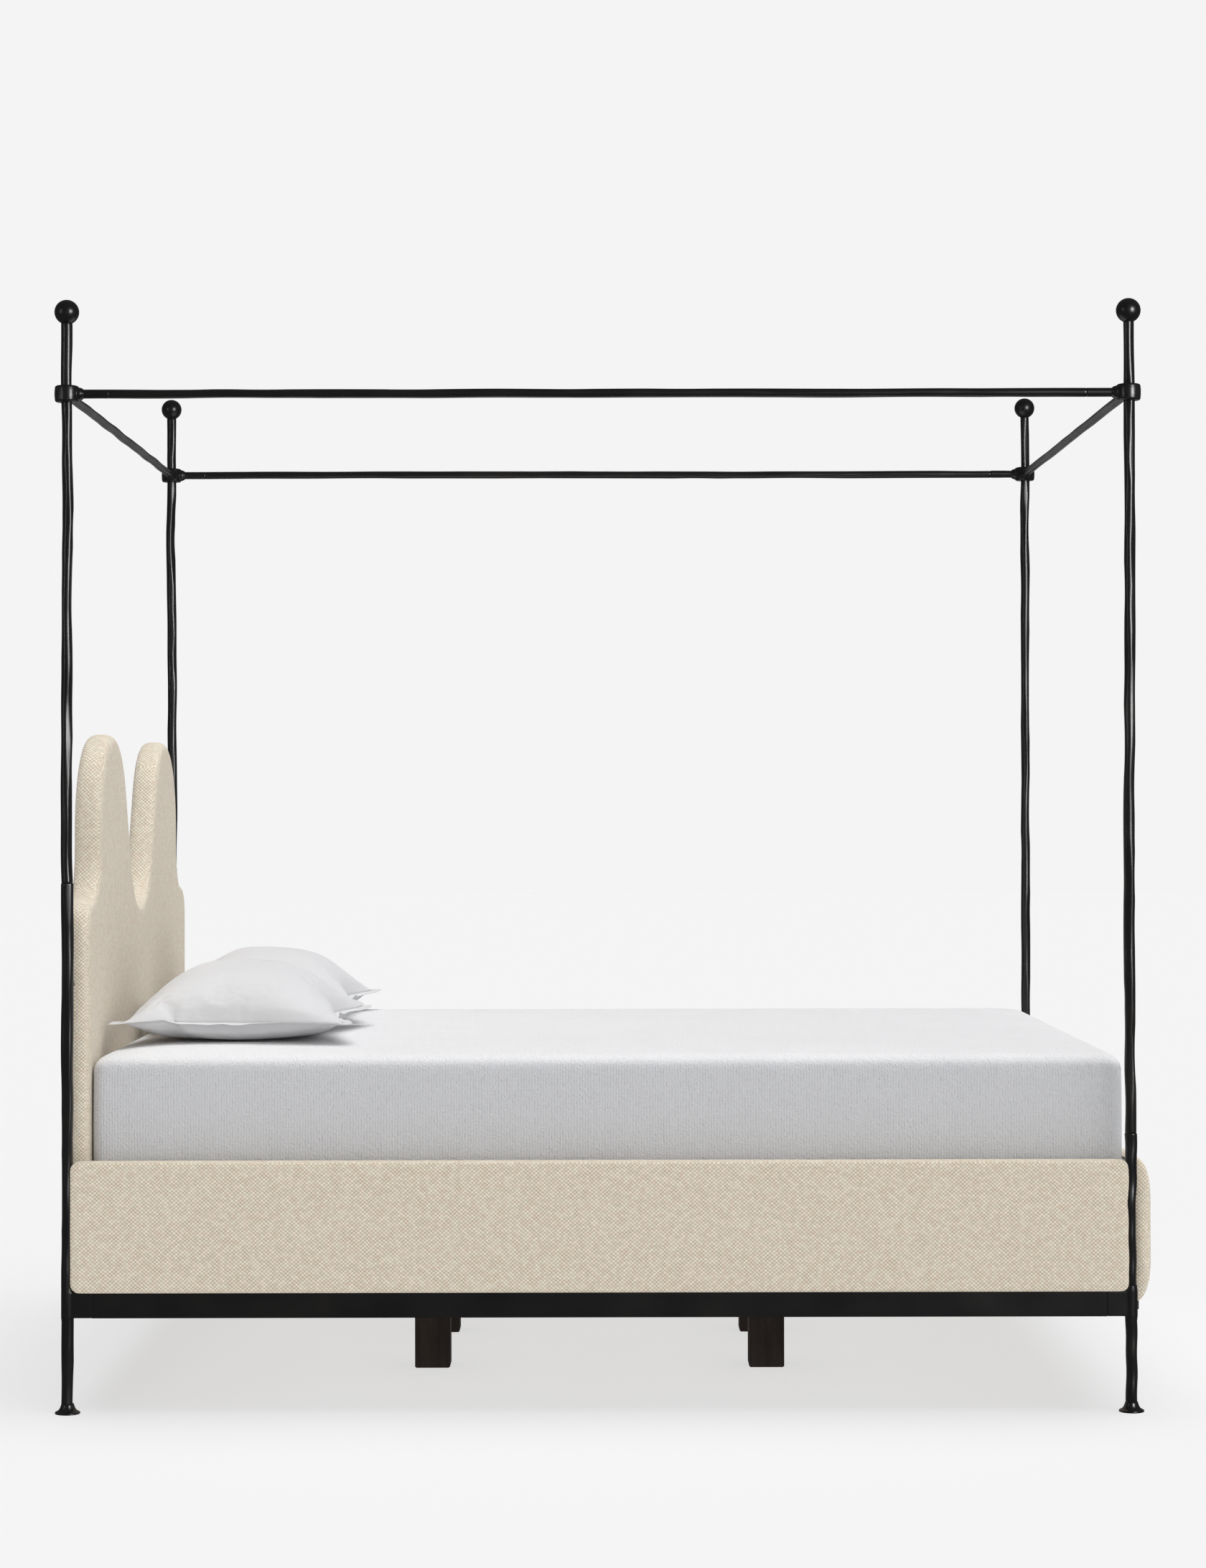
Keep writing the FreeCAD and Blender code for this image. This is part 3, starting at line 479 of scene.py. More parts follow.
def remeshed(name, mesh, voxel, smoothing):
    """A copy of a closed mesh with an even skin, smoothed by the given number of rounds."""
    maker = bpy.data.objects.new(name + "_maker", mesh)
    scene.collection.objects.link(maker)
    skin = maker.modifiers.new("skin", "REMESH")
    skin.mode = "VOXEL"
    skin.voxel_size = voxel
    if smoothing:
        soften = maker.modifiers.new("soften", "SMOOTH")
        soften.factor = 0.5
        soften.iterations = smoothing
    made = applied(maker, name)
    bpy.data.objects.remove(maker)
    return made


def applied(maker, name):
    """The mesh that an object's modifiers make."""
    depsgraph = bpy.context.evaluated_depsgraph_get()
    depsgraph.update()
    made = bpy.data.meshes.new_from_object(maker.evaluated_get(depsgraph), depsgraph=depsgraph)
    made.name = name
    return made


def brick(low, high):
    """Points and faces of a closed block between two corners."""
    x, y, z = zip(low, high)
    points = [(x[a], y[b], z[c]) for a in (0, 1) for b in (0, 1) for c in (0, 1)]
    faces = [(0, 1, 3, 2), (4, 6, 7, 5), (0, 4, 5, 1), (2, 3, 7, 6), (0, 2, 6, 4), (1, 5, 7, 3)]
    return points, faces


COLLAR_RADIUS = 0.0245
COLLAR_HALF = 0.0165  # half of its height
COLLAR_RINGS = 33
BOSS_START = 0.0135  # the stub's radius where it leaves the barrel
BOSS_END = 0.0325  # how far from the post's middle the stub has thinned to the bar
CANOPY_BAR_RADIUS = 0.009
COLLAR_PROFILE = (  # radius, and height as a share of the half height
    (0.0195, -1.0), (0.0222, -0.95), (0.0236, -0.8), (0.0243, -0.4), (0.0245, 0.0),
    (0.0243, 0.4), (0.0236, 0.8), (0.0222, 0.95), (0.0195, 1.0),
)


def canopy_collar(end, side, seed):
    """The barrel round a post, with a flared stub along the bed and another across it."""
    name = f"collar_{end}_{side}"
    low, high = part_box(name)
    post = middle_of(f"post_lower_{end}_{side}")
    height = middle_of(f"canopy_side_bar_{side}").z
    seam_x = abs((high.x if ENDS[end] > 0 else low.x) - post.x)
    given = np.linspace(0, 1, len(COLLAR_PROFILE))
    wanted = np.linspace(0, 1, COLLAR_RINGS)
    heights = np.interp(wanted, given, [height for _, height in COLLAR_PROFILE]) * COLLAR_HALF
    radii = np.interp(wanted, given, [radius for radius, _ in COLLAR_PROFILE])
    radii = np.repeat(radii[:, None], 56, axis=1)
    hammer(radii, heights, seed, 0.006, (0.012, 0.02), (0.02, 0.05))
    points, faces = turned(heights, radii, np.zeros((len(heights), 2)))
    parts = [(placed(points, (post.x, post.y, height), "Z"), faces)]
    for axis, way in (("X", ENDS[end]), ("Y", -SIDES[side])):
        along = np.linspace(0, seam_x, 60)
        flare = np.clip((BOSS_END - along) / (BOSS_END - COLLAR_RADIUS), 0, 1) ** 0.4
        radius = CANOPY_BAR_RADIUS + (BOSS_START - CANOPY_BAR_RADIUS) * flare
        radii = np.repeat(radius[:, None], 40, axis=1)
        hammer(radii, along, seed + ord(axis), 0.01, (0.012, 0.03), (0.02, 0.07))
        points, faces = turned(along, radii, np.zeros((len(along), 2)))
        points[:, 2] *= way
        if way < 0:
            faces = [face[::-1] for face in faces]
        parts.append((placed(points, (post.x, post.y, height), axis), faces))
    mesh = fused(name, parts, voxel=0.0011, smoothing=3)
    return add_piece(name + "_forged", mesh, "forged_iron", "frame", [name])


BRACKET_THICKNESS = 0.006
BRACKET_FACE = 0.830  # how far from the bed's middle its outer face stands
BRACKET_FLANGE = 0.762  # and how near to the middle its flange reaches
TONGUE_ACROSS = (0.8235, 0.776)  # the edges of the tongue that laps the side rail
TONGUE_LAP = 0.061
WELD_RADIUS = 0.0114
WELD_SWELL = 0.0014
WELD_OVERRUN = 0.012  # how far the weld runs past the bracket, up and down the post


def rail_bracket(end, side, seed):
    """The corner of angle iron that is welded to the post, with the weld drawn round the post."""
    name = f"bracket_{end}_{side}"
    rail_low, rail_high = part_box(f"side_rail_{side}")
    post = middle_of(f"post_lower_{end}_{side}")
    inward, out = ENDS[end], SIDES[side]
    seam = rail_low.x if inward > 0 else rail_high.x
    near, away = sorted((post.x, seam))
    face_y = sorted((out * BRACKET_FACE, out * (BRACKET_FACE - BRACKET_THICKNESS)))
    flange_y = sorted((out * BRACKET_FACE, out * BRACKET_FLANGE))
    bottom, top = rail_low.z, rail_high.z
    flange_top = bottom + BRACKET_THICKNESS
    parts = [
        brick((near, face_y[0], bottom), (away, face_y[1], top)),
        brick((near, flange_y[0], bottom), (away, flange_y[1], flange_top)),
    ]
    heights = np.linspace(-WELD_OVERRUN, WELD_OVERRUN + top - bottom, 40)
    swell = np.clip(np.minimum(heights + WELD_OVERRUN, heights[-1] - heights) / WELD_OVERRUN, 0, 1)
    radii = np.repeat((WELD_RADIUS + WELD_SWELL * swell)[:, None], 40, axis=1)
    hammer(radii, heights, seed, 0.01, (0.01, 0.03), (0.01, 0.05))
    points, faces = turned(heights, radii, np.zeros((len(heights), 2)))
    parts.append((placed(points, (post.x, post.y, bottom), "Z"), faces))
    tongue_x = sorted((seam + inward * TONGUE_LAP, post.x + inward * 0.01))
    tongue_y = sorted(out * edge for edge in TONGUE_ACROSS)
    tongue_top = bottom + 2 * BRACKET_THICKNESS
    parts.append(brick((tongue_x[0], tongue_y[0], flange_top), (tongue_x[1], tongue_y[1], tongue_top)))
    mesh = fused(name, parts, voxel=0.0013, smoothing=4)
    return add_piece(name + "_forged", mesh, "forged_iron", "frame", [name])


BALL_RADIUS = 0.0245
BALL_SEAT = 0.046  # how far below the ball's top the post ends
BALL_ARC = (-1.16, 1.45)  # the angles above the horizon between which the ball is round
FOOT_PROFILE = (  # radius and height
    (0.0232, 0.0), (0.0246, 0.0004), (0.0250, 0.0012), (0.0250, 0.0024), (0.0246, 0.0034),
    (0.0236, 0.0042), (0.0212, 0.0052), (0.0190, 0.0066), (0.0172, 0.0084), (0.0156, 0.0108),
    (0.0143, 0.0138), (0.0132, 0.0170), (0.0123, 0.0200), (0.0112, 0.0205),
)
FINIAL_PROFILE = (  # radius, and height from the ball's top
    (0.0092, -0.052),
    (0.0094, -0.0475),
    *arc_profile(BALL_RADIUS, -BALL_RADIUS, *BALL_ARC, 30),
    (0.0008, 0.0),
)


def corner_iron(end, side, index):
    """A post in its two lengths, and its foot, ball, collar and rail bracket, each with its own seed."""
    corner = f"{end}_{side}"
    lower, upper = f"post_lower_{corner}", f"post_upper_{corner}"
    base = middle_of(lower)
    foot, joint = (level.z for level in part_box(lower))
    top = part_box(f"finial_{corner}")[1].z
    forged_bar(f"{lower}_forged", lower, (base.x, base.y, foot), "Z", joint - foot, LOWER_POST_RADIUS,
               10 + index)
    shaft = middle_of(upper)
    forged_bar(f"{upper}_forged", upper, (shaft.x, shaft.y, joint), "Z", top - BALL_SEAT - joint,
               UPPER_POST_RADIUS, 40 + index)
    turned_piece(f"post_foot_{corner}_forged", f"post_foot_{corner}", (base.x, base.y, 0), FOOT_PROFILE,
                 70 + index, depths=(0.0, 0.03), blow_spacing=0.01)
    turned_piece(f"finial_{corner}_forged", f"finial_{corner}", (base.x, base.y, top), FINIAL_PROFILE,
                 80 + index, depths=(0.0, 0.012), blow_spacing=0.006)
    canopy_collar(end, side, 90 + index)
    rail_bracket(end, side, 120 + index)


for index, (end, side) in enumerate((end, side) for end in ENDS for side in SIDES):
    corner_iron(end, side, index)

for index, side in enumerate(SIDES):
    middle = middle_of(f"canopy_side_bar_{side}")
    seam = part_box(f"collar_head_{side}")[1].x
    far_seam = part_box(f"collar_foot_{side}")[0].x
    forged_bar(f"canopy_side_bar_{side}_forged", f"canopy_side_bar_{side}", (seam, middle.y, middle.z), "X",
               far_seam - seam, CANOPY_BAR_RADIUS, 150 + index, liveliness=0.6)
for index, end in enumerate(ENDS):
    middle = middle_of(f"canopy_cross_bar_{end}")
    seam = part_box(f"collar_{end}_near")[1].y
    far_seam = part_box(f"collar_{end}_far")[0].y
    forged_bar(f"canopy_cross_bar_{end}_forged", f"canopy_cross_bar_{end}", (middle.x, seam, middle.z), "Y",
               far_seam - seam, CANOPY_BAR_RADIUS, 160 + index, liveliness=0.3)

# ---- upholstered boards ----


def coordinates_of(mesh):
    """A mesh's points, one row each."""
    points = np.empty(len(mesh.vertices) * 3)
    mesh.vertices.foreach_get("co", points)
    return points.reshape(-1, 3)


def blown_up(name, mesh, frames, stuffed=(), **values):
    """The mesh after some frames as cloth under pressure, with no weight and nothing to touch."""
    maker = bpy.data.objects.new(name + "_cloth", mesh)
    scene.collection.objects.link(maker)
    if stuffed:
        maker.vertex_groups.new(name="stuffed").add(stuffed, 1.0, "REPLACE")
        values["vertex_group_pressure"] = "stuffed"
    cloth = maker.modifiers.new("cloth", "CLOTH")
    cloth.settings.use_pressure = True
    cloth.settings.effector_weights.gravity = 0
    for setting, value in values.items():
        setattr(cloth.settings, setting, value)
    cloth.collision_settings.use_collision = False
    cloth.point_cache.frame_start = 1
    cloth.point_cache.frame_end = frames
    for number in range(1, frames + 1):
        scene.frame_set(number)
    blown = applied(maker, name)
    bpy.data.objects.remove(maker)
    scene.frame_set(1)
    return blown


CROWNING_FRAMES = 8


def crowned(name, mesh, pressure, cap):
    """Blows the mesh up a little as cloth, so that its faces crown and its edges draw in by cap at most."""
    rest = coordinates_of(mesh)
    blown = blown_up(name, mesh, CROWNING_FRAMES, quality=3, uniform_pressure_force=pressure,
                     tension_stiffness=15, compression_stiffness=15, bending_stiffness=0.5)
    moved = coordinates_of(blown) - rest
    reach = np.linalg.norm(moved, axis=1, keepdims=True)
    moved *= np.minimum(1, cap / np.maximum(reach, 1e-9))
    blown.vertices.foreach_set("co", (rest + moved).ravel())
    blown.update()
    return blown


def vertex_of_corner(mesh):
    """The index of the point under each corner of each face."""
    corners = np.empty(len(mesh.loops), int)
    mesh.loops.foreach_get("vertex_index", corners)
    return corners


def lay_weave(mesh, along, across):
    """Writes a weave map in metres from a pair of numbers for each corner of each face."""
    while mesh.uv_layers:
        mesh.uv_layers.remove(mesh.uv_layers[0])
    layer = mesh.uv_layers.new(name="weave")
    layer.data.foreach_set("uv", np.stack([along, across], axis=1).ravel())


def board_weave(mesh):
    """Lays the weave flat on each face, as seen along the axis that the face looks along."""
    ways = np.empty(len(mesh.polygons) * 3)
    mesh.polygons.foreach_get("normal", ways)
    counts = np.empty(len(mesh.polygons), int)
    mesh.polygons.foreach_get("loop_total", counts)
    facing = np.repeat(np.abs(ways.reshape(-1, 3)).argmax(axis=1), counts)
    x, y, z = coordinates_of(mesh)[vertex_of_corner(mesh)].T
    lay_weave(mesh, np.where(facing == 0, y, x), np.where(facing == 2, y, z))


def skin_of(node_name, lowest=-1.0):
    """Points and faces of a CAD node, with what lies below a height raised to it."""
    mesh = nodes[node_name].data
    points = coordinates_of(mesh)
    points[:, 2] = np.maximum(points[:, 2], lowest)
    return points, [tuple(face.vertices) for face in mesh.polygons]


def headboard():
    """The cover and its core under one soft skin."""
    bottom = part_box("headboard_upholstery")[0].z
    filled = [skin_of("headboard_upholstery"), skin_of("headboard_core", bottom + 0.001)]
    mesh = fused("headboard_padded", filled, voxel=0.007, smoothing=3)
    board_weave(mesh)
    piece = add_piece("headboard_padded", mesh, "woven_upholstery", "frame", ["headboard_upholstery"])
    return piece


def prism(section, low_y, high_y):
    """A closed bar across the bed with the given (x, z) section, wound the way a bar along Y is."""
    count = len(section)
    points = [(x, y, z) for y in (low_y, high_y) for x, z in section]
    faces = [(step, step + count, (step + 1) % count + count, (step + 1) % count) for step in range(count)]
    faces.append(tuple(range(count)))
    faces.append(tuple(range(count, 2 * count))[::-1])
    return points, faces


def rounded_outline(half_x, half_y, radius, spacing):
    """Points round a rounded rectangle from the middle of its head side, and the way each looks outward."""
    points, ways = [(-half_x, 0.0)], [(-1.0, 0.0)]
    corners = ((-1, 1, math.pi), (1, 1, math.pi / 2), (1, -1, 0), (-1, -1, -math.pi / 2))
    straights = (half_y - radius, 2 * (half_x - radius), 2 * (half_y - radius), 2 * (half_x - radius))
    turns = max(8, round(radius * math.pi / 2 / spacing * 2))
    for (x_way, y_way, start), straight in zip(corners, straights):
        middle = np.array((x_way * (half_x - radius), y_way * (half_y - radius)))
        leave = np.array(points[-1])
        outward = np.array((math.cos(start), math.sin(start)))
        arrive = middle + radius * outward
        steps = max(1, round(straight / spacing))
        for step in range(1, steps + 1):
            points.append(leave + (arrive - leave) * (step / steps))
            ways.append(outward)
        for step in range(1, turns + 1):
            angle = start - step / turns * math.pi / 2
            outward = np.array((math.cos(angle), math.sin(angle)))
            points.append(middle + radius * outward)
            ways.append(outward)
    leave = points[-1]
    steps = max(1, round(straights[0] / spacing))
    for step in range(1, steps):
        points.append((leave[0], leave[1] * (1 - step / steps)))
        ways.append((-1.0, 0.0))
    return np.array(points), np.array(ways)


FOOTBOARD_ROLL = (0.036, 0.056)  # how far the outer face rolls in, and over what height
FOOTBOARD_INSET = 0.003  # the room the skin leaves to crown in
FOOTBOARD_BEVEL = 0.004  # on the two edges of the inner face
FOOTBOARD_HANG = 0.014  # how far the cover hangs below its CAD box
FOOTBOARD_CROWN = 0.004  # how far its outer face crowns past it


def footboard():
    """A flat inner face and an outer face that rolls in at the top and the bottom."""
    low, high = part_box("footboard_upholstery")
    reach, rise = FOOTBOARD_ROLL
    inner_x = low.x + FOOTBOARD_INSET
    bottom = low.z - FOOTBOARD_HANG + FOOTBOARD_INSET
    top = high.z - FOOTBOARD_INSET
    roll_x = high.x + FOOTBOARD_CROWN - FOOTBOARD_INSET - reach
    section = [(inner_x, top - FOOTBOARD_BEVEL), (inner_x + FOOTBOARD_BEVEL, top)]
    for middle, angles in (
        (top - rise, np.linspace(math.pi / 2, 0, 14)),
        (bottom + rise, np.linspace(0, -math.pi / 2, 14)),
    ):
        section += [(roll_x + reach * math.cos(angle), middle + rise * math.sin(angle)) for angle in angles]
    section += [(inner_x + FOOTBOARD_BEVEL, bottom), (inner_x, bottom + FOOTBOARD_BEVEL)]
    bar = prism(section[::-1], low.y + FOOTBOARD_INSET, high.y - FOOTBOARD_INSET)
    mesh = fused("footboard_padded", [bar], voxel=0.008, smoothing=8)
    mesh = crowned("footboard_padded", mesh, pressure=3.0, cap=0.006)
    board_weave(mesh)
    piece = add_piece("footboard_padded", mesh, "woven_upholstery", "frame", ["footboard_upholstery"])
    return piece


PANEL_CORNER = 0.016
PANEL_SWELL = 0.001  # what smoothing takes off the outline, given back first
PANEL_INSET = 0.002
LIP_DEPTH = 0.012  # how far the inner lip runs into the face of the panel
LIP_BOTTOM = 0.420
BOARD_GAP = 0.003  # between the lip and the boards at its ends


def side_panel(side):
    """A padded face with rounded corners, and the lip that turns in over the top of the core."""
    name = f"side_panel_upholstery_{side}"
    out = SIDES[side]
    low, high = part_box(name)
    core_low, core_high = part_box(f"side_panel_core_{side}")
    outer = max(abs(low.y), abs(high.y)) - PANEL_INSET
    lip = min(abs(low.y), abs(high.y)) + PANEL_INSET
    core_inner = min(abs(core_low.y), abs(core_high.y)) - 0.001
    lip_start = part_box("headboard_upholstery")[1].x + BOARD_GAP
    lip_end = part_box("footboard_upholstery")[0].x - BOARD_GAP
    half_length, half_height = (high.x - low.x) / 2 + PANEL_SWELL, (high.z - low.z) / 2 + PANEL_SWELL
    outline, _ = rounded_outline(half_length, half_height, PANEL_CORNER, 0.05)
    middle = ((low.x + high.x) / 2, (low.z + high.z) / 2)
    face = prism(outline + middle, *sorted((out * core_inner, out * outer)))
    lip_y = sorted((out * lip, out * (core_inner + LIP_DEPTH)))
    inner_lip = brick((lip_start, lip_y[0], LIP_BOTTOM), (lip_end, lip_y[1], high.z - PANEL_INSET))
    mesh = fused(f"side_panel_padded_{side}", [face, inner_lip], voxel=0.006, smoothing=7)
    board_weave(mesh)
    piece = add_piece(f"side_panel_padded_{side}", mesh, "woven_upholstery", "frame", [name])
    return piece


headboard()
footboard()
for side in SIDES:
    side_panel(side)

# ---- mattress and foundation ----


FLAT_INSETS = (0.02, 0.05, 0.1, 0.2, 0.35, 0.52)  # where the top's and the underside's rings lie
ROLL_RINGS = 10
SIDE_RINGS = 22
SAG_RUN = 0.06  # how far in from the edge the top's fall dies away


def block_rings(height, edge):
    """How far each ring of a block stands out past its edge, and how high, from underside to top."""
    flat = [-edge - inset for inset in FLAT_INSETS]
    rings = [(reach, 0.0) for reach in flat[::-1]]
    for angle in np.linspace(-math.pi / 2, 0, ROLL_RINGS):
        rings.append((edge * (math.cos(angle) - 1), edge * (1 + math.sin(angle))))
    for share in np.linspace(0, 1, SIDE_RINGS)[1:-1]:
        rings.append((0.0, edge + share * (height - 2 * edge)))
    for angle in np.linspace(0, math.pi / 2, ROLL_RINGS):
        rings.append((edge * (math.cos(angle) - 1), height - edge + edge * math.sin(angle)))
    return rings + [(reach, height) for reach in flat]


def padded_block(name, node_name, corner, edge, bulge, dip, slot, body):
    """A block of bedding with a rounded plan, rolled edges, sides that swell and a top that falls outward."""
    low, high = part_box(node_name)
    middle = (low + high) / 2
    height = high.z - low.z
    half_x, half_y = (high.x - low.x) / 2 - bulge, (high.y - low.y) / 2 - bulge
    outline, ways = rounded_outline(half_x, half_y, corner, 0.012)
    perimeter = np.concatenate([[0], np.cumsum(np.linalg.norm(np.diff(outline, axis=0), axis=1))])
    rings = block_rings(height, edge)
    points, along, across = [], [], []
    travelled = 0.0
    for number, (reach, level) in enumerate(rings):
        swell = bulge * math.sin(math.pi * min(max(level / height, 0), 1)) ** 0.7 if -reach < edge else 0.0
        shrink = (max(0.0, (half_x + reach) / half_x), max(0.0, (half_y + reach) / half_y))
        ring = outline * shrink + ways * swell
        sag = dip * math.exp(-max(0.0, -reach - edge) / SAG_RUN) * level / height
        if number:
            travelled += math.hypot(reach - rings[number - 1][0], level - rings[number - 1][1])
        for (x, y), distance in zip(ring, perimeter):
            points.append((middle.x + x, middle.y + y, low.z + level - sag))
            along.append(distance)
            across.append(travelled)
    count = len(outline)
    faces = []
    for number in range(len(rings) - 1):
        below, above = number * count, (number + 1) * count
        for step in range(count):
            after = (step + 1) % count
            faces.append((below + step, above + step, above + after, below + after))
    faces.append(tuple(range(count)))
    faces.append(tuple(range((len(rings) - 1) * count, len(rings) * count))[::-1])
    mesh = new_mesh(name, points, faces)
    corners = vertex_of_corner(mesh)
    lay_weave(mesh, np.array(along)[corners], np.array(across)[corners])
    piece = add_piece(name, mesh, slot, body, [node_name])
    return piece


padded_block(
    "mattress_padded", "mattress", corner=0.024, edge=0.034, bulge=0.002, dip=0.010,
    slot="mattress_knit", body="mattress",
)
padded_block(
    "foundation_padded", "foundation", corner=0.04, edge=0.014, bulge=0.002, dip=0.0,
    slot="foundation_ticking", body="foundation",
)

# ---- shams ----

SHAM_SEAM_HEIGHT = 0.043
SHAM_FLANGE = 0.024
SHAM_STEP = 0.0075  # the spacing of the case's points
SHAM_SLACK = 0.04  # how much larger a case is sewn than it ends up
FACES_APART = 0.004  # how far each face stands off, step by step in from the seam, before it is filled
UNEVENNESS = 0.0004
STUFFING_FRAMES = 34
DOME_HEIGHT = 0.08
DOME_MARGIN = 0.05  # what the flange takes off the case's length and width
DOME_EVENING = 0.55  # how far a blown case is drawn towards an even dome
HEM_STRAIGHTENING = 0.5  # how far a blown case is drawn back towards its flat outline
UNDERSIDE_FLATNESS = 2.2
CORNER_THINNING = 0.85
FLANGE_THICKNESS = 0.0018


def sham_shell(length, width, seed):
    """A flat sewn case: a top with a flange all round, and a back that joins it along the seam."""
    rng = np.random.default_rng(seed)
    columns, rows = round(length / SHAM_STEP), round(width / SHAM_STEP)
    edge = round(SHAM_FLANGE / SHAM_STEP)

    def steps_inside(i, j):
        """How many steps in from the seam a place lies, below zero on the flange."""
        return min(i, columns - i, j, rows - j) - edge

    top, back = {}, {}
    points, faces, stuffed = [], [], []
    for i in range(columns + 1):
        for j in range(rows + 1):
            inside = steps_inside(i, j)
            lift = FACES_APART * min(max(inside, 0), 3) + rng.normal() * UNEVENNESS
            top[i, j] = len(points)
            points.append(((i / columns - 0.5) * length, (j / rows - 0.5) * width, lift))
            stuffed.append(inside > 0)
    for i in range(edge, columns - edge + 1):
        for j in range(edge, rows - edge + 1):
            inside = steps_inside(i, j)
            if inside == 0:
                back[i, j] = top[i, j]
                continue
            back[i, j] = len(points)
            x, y, _ = points[top[i, j]]
            points.append((x, y, -FACES_APART * min(inside, 3) + rng.normal() * UNEVENNESS))
            stuffed.append(True)
    for i in range(columns):
        for j in range(rows):
            faces.append((top[i, j], top[i + 1, j], top[i + 1, j + 1], top[i, j + 1]))
            if edge <= i < columns - edge and edge <= j < rows - edge:
                faces.append((back[i, j], back[i, j + 1], back[i + 1, j + 1], back[i + 1, j]))
    flange = [vertex for place, vertex in top.items() if steps_inside(*place) <= 0]
    return new_mesh("sham_shell", points, faces), stuffed, flange


def evenly_domed(points):
    """The heights that the points of a flat case would have if both faces swelled to an even dome."""
    seams = np.ptp(points[:, :2], axis=0) - DOME_MARGIN
    plump = np.prod(np.clip(1 - (2 * points[:, :2] / seams) ** 2, 0, 1) ** 0.6, axis=1)
    return points[:, 2] + np.sign(points[:, 2]) * plump * DOME_HEIGHT


def stuffed_case(name, length, width, seed):
    """Fills a sewn case as cloth under pressure."""
    mesh, stuffed, flange = sham_shell(length, width, seed)
    laid = coordinates_of(mesh)
    even = evenly_domed(laid)
    filled = [index for index, inside in enumerate(stuffed) if inside]
    blown = blown_up(name, mesh, STUFFING_FRAMES, filled, quality=5, mass=0.15, uniform_pressure_force=4.0,
                     tension_stiffness=40, compression_stiffness=30, shear_stiffness=8,
                     bending_stiffness=0.25, air_damping=2)
    flat = laid[:, :2]
    points = coordinates_of(blown)
    points[:, 2] += (even * np.ptp(points[:, 2]) / np.ptp(even) - points[:, 2]) * DOME_EVENING
    points[:, :2] *= np.ptp(flat, axis=0) / np.ptp(points[:, :2], axis=0)
    to_corner = np.prod(np.abs(flat) * 2 / np.ptp(flat, axis=0), axis=1)[:, None]
    drawn_back = HEM_STRAIGHTENING + (1 - HEM_STRAIGHTENING) * to_corner ** 3
    points[:, :2] += (flat - points[:, :2]) * drawn_back
    blown.vertices.foreach_set("co", points.ravel())
    return blown, flange


def sham(side, seed):
    """A stuffed case settled on the mattress: flat below where it rests, domed above, its flange free."""
    name = f"sham_{side}"
    low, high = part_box(name)
    size = high - low
    mesh, flange = stuffed_case(name + "_case", size.x + SHAM_SLACK, size.y + SHAM_SLACK, seed)
    points = coordinates_of(mesh)
    for axis in (0, 1):
        middle = (points[:, axis].max() + points[:, axis].min()) / 2
        points[:, axis] = (points[:, axis] - middle) * size[axis] / np.ptp(points[:, axis])
    crown = size.z - SHAM_SEAM_HEIGHT
    z = points[:, 2]
    above, below = z.max(), -z.min()
    settled = np.tanh(-np.minimum(z, 0) / below * UNDERSIDE_FLATNESS) / math.tanh(UNDERSIDE_FLATNESS)
    z = np.where(z > 0, z * crown / above, -SHAM_SEAM_HEIGHT * settled)
    to_corner = np.prod(np.abs(points[:, :2]) * 2 / (size.x, size.y), axis=1)
    z *= 1 - CORNER_THINNING * np.minimum(to_corner, 1) ** 1.8
    points[:, 2] = z + SHAM_SEAM_HEIGHT
    points += np.array([(low.x + high.x) / 2, (low.y + high.y) / 2, low.z])
    points[:, 2] = np.maximum(points[:, 2], low.z)
    mesh.vertices.foreach_set("co", points.ravel())
    mesh.update()
    thicken_flange(mesh, flange, FLANGE_THICKNESS)
    piece = add_piece(f"{name}_stuffed", mesh, "sham_cotton", name, [name])
    fine = piece.modifiers.new("fine", "SUBSURF")
    fine.levels = 1
    fine.render_levels = 1
    return piece


def thicken_flange(mesh, flange, thickness):
    """Adds the underside and the hem of the flange, which the filling leaves as one layer."""
    bm = bmesh.new()
    bm.from_mesh(mesh)
    bm.verts.ensure_lookup_table()
    bm.normal_update()
    members = set(flange)
    layer = [face for face in bm.faces if all(vert.index in members for vert in face.verts)]
    hem_edges = [edge for face in layer for edge in face.edges if edge.is_boundary]
    hem = {vert for edge in hem_edges for vert in edge.verts}
    under = {}
    for face in layer:
        for vert in face.verts:
            stitched = len(vert.link_faces) > 4 and vert not in hem
            if vert not in under:
                under[vert] = vert if stitched else bm.verts.new(vert.co - vert.normal * thickness)
    for face in layer:
        bm.faces.new([under[vert] for vert in reversed(face.verts)])
    for edge in hem_edges:
        first, second = edge.verts
        loop = edge.link_loops[0]
        if loop.vert is not first:
            first, second = second, first
        bm.faces.new([second, first, under[first], under[second]])
    bm.to_mesh(mesh)
    bm.free()
    mesh.update()


sham("near", 301)
sham("far", 302)

# ---- studio ----

BACKGROUND = 0.904  # the pale ground behind the bed
FLOOR_GLOW = 0.605  # the floor's own light, which keeps it as pale as the background

corners = [(-40, -40, 0), (40, -40, 0), (40, 40, 0), (-40, 40, 0)]
floor_mesh = new_mesh("floor", corners, [(0, 1, 2, 3)])
floor = bpy.data.objects.new("floor", floor_mesh)
scene.collection.objects.link(floor)
floor.visible_glossy = False
ground = Finish("studio_floor", Base_Color=(0.26, 0.26, 0.266, 1), Roughness=1.0, Specular_IOR_Level=0.0)
ground.shader.inputs["Emission Color"].default_value = (1, 1, 1, 1)
ground.shader.inputs["Emission Strength"].default_value = FLOOR_GLOW
floor_mesh.materials.append(ground.material)

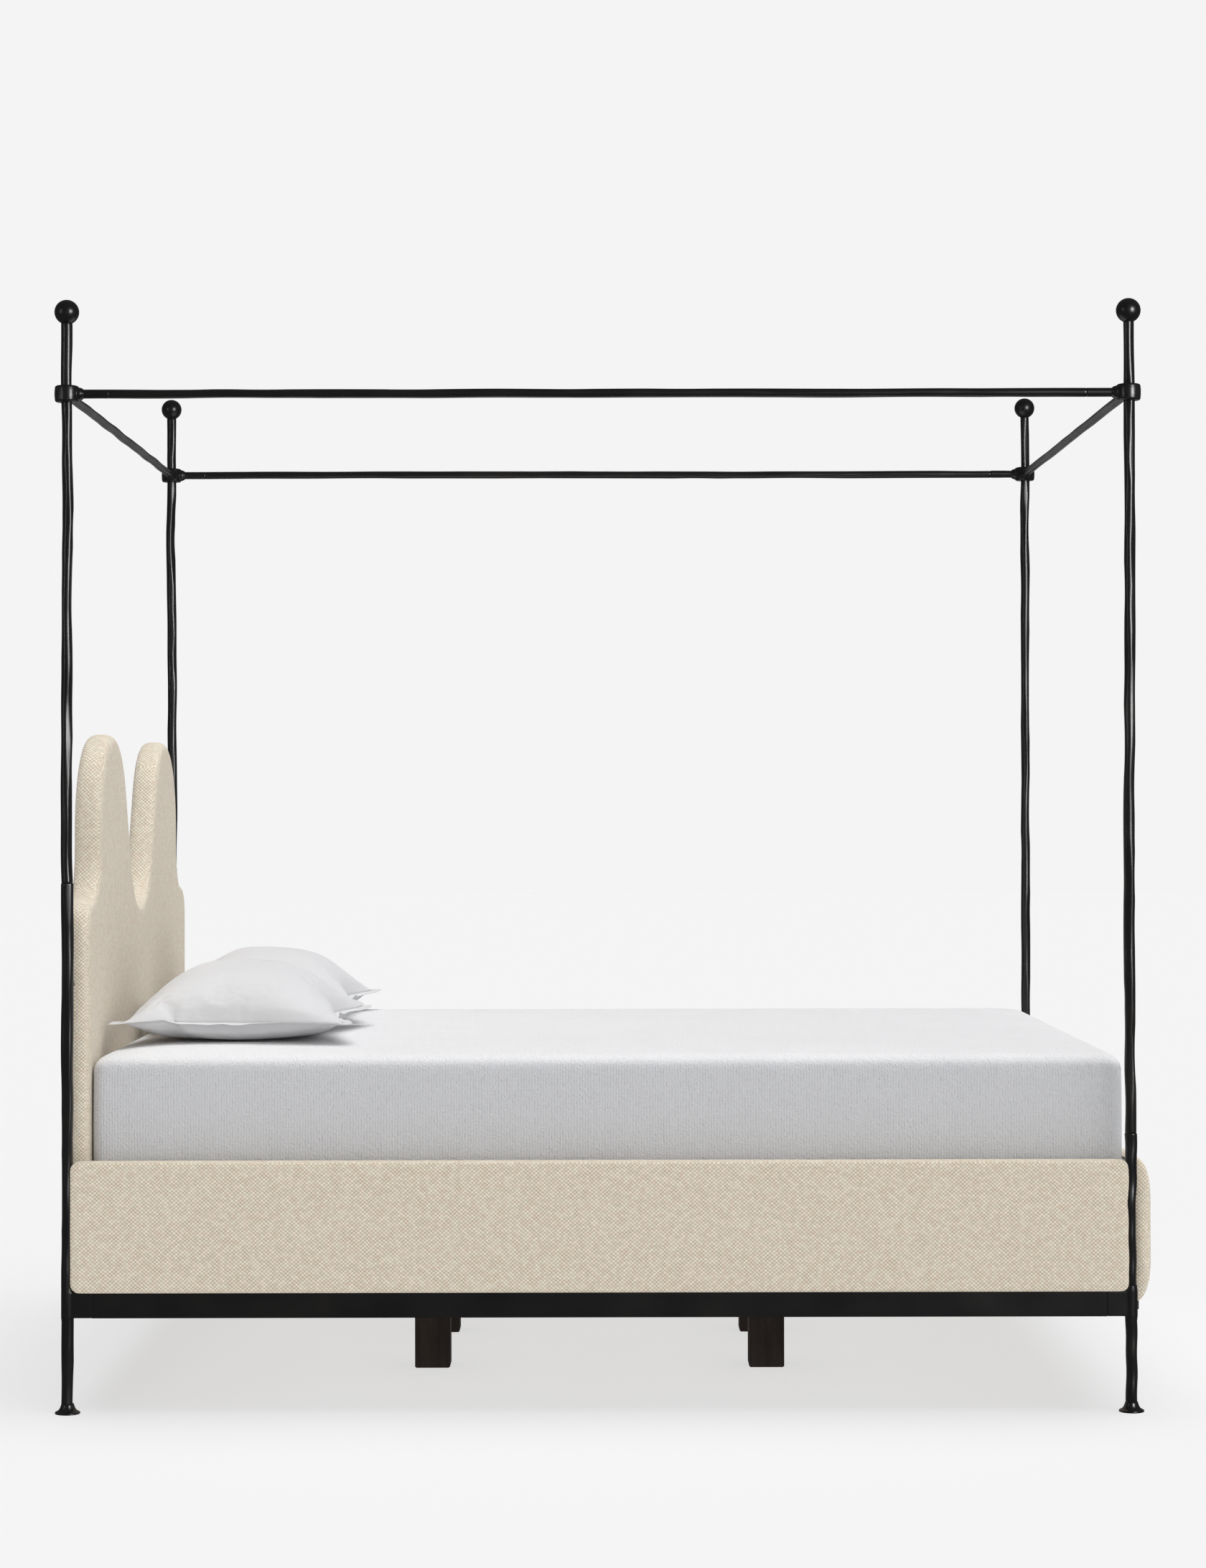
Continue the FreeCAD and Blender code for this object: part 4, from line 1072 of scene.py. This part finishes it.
world = bpy.data.worlds.new("studio")
scene.world = world
world.use_nodes = True
tree = world.node_tree
tree.nodes.clear()
seen = tree.nodes.new("ShaderNodeBackground")
seen.inputs["Color"].default_value = (BACKGROUND, BACKGROUND, BACKGROUND, 1)
lit = tree.nodes.new("ShaderNodeBackground")
lit.inputs["Color"].default_value = (1, 1, 1, 1)
lit.inputs["Strength"].default_value = 0.10
rays = tree.nodes.new("ShaderNodeLightPath")
choose = tree.nodes.new("ShaderNodeMixShader")
output = tree.nodes.new("ShaderNodeOutputWorld")
tree.links.new(rays.outputs["Is Camera Ray"], choose.inputs[0])
tree.links.new(lit.outputs[0], choose.inputs[1])
tree.links.new(seen.outputs[0], choose.inputs[2])
tree.links.new(choose.outputs[0], output.inputs[0])


def sun(name, energy, angle, tilt):
    """A broad sun, its angles in degrees, that leaves no reflection."""
    light = bpy.data.lights.new(name, "SUN")
    light.energy = energy
    light.angle = math.radians(angle)
    lamp = bpy.data.objects.new(name, light)
    lamp.visible_glossy = False
    scene.collection.objects.link(lamp)
    lamp.rotation_euler = [math.radians(turn) for turn in tilt]


def softbox(name, power, size, place, target):
    """A rectangular lamp that is only seen as a reflection."""
    light = bpy.data.lights.new(name, "AREA")
    light.shape = "RECTANGLE"
    light.size, light.size_y = size
    light.energy = power
    lamp = bpy.data.objects.new(name, light)
    lamp.visible_diffuse = False
    lamp.visible_camera = False
    scene.collection.objects.link(lamp)
    lamp.location = place
    lamp.rotation_euler = (Vector(target) - Vector(place)).to_track_quat("-Z", "Y").to_euler()


sun("overhead", energy=2.6, angle=60, tilt=(-9, 6, 0))
sun("front", energy=1.64, angle=90, tilt=(62, 0, 30))
softbox("front_right", power=320, size=(1.6, 2.4), place=(3.6, -5.3, 2.5), target=(0, 0, 1.8))
softbox("front_left", power=22, size=(0.14, 2.1), place=(-5.0, -4.2, 2.5), target=(0, 0, 1.8))
softbox("backdrop", power=11, size=(6.0, 3.0), place=(0, 6.5, 1.3), target=(0, 0, 1.1))

scene.view_settings.view_transform = "Standard"
scene.view_settings.look = "None"
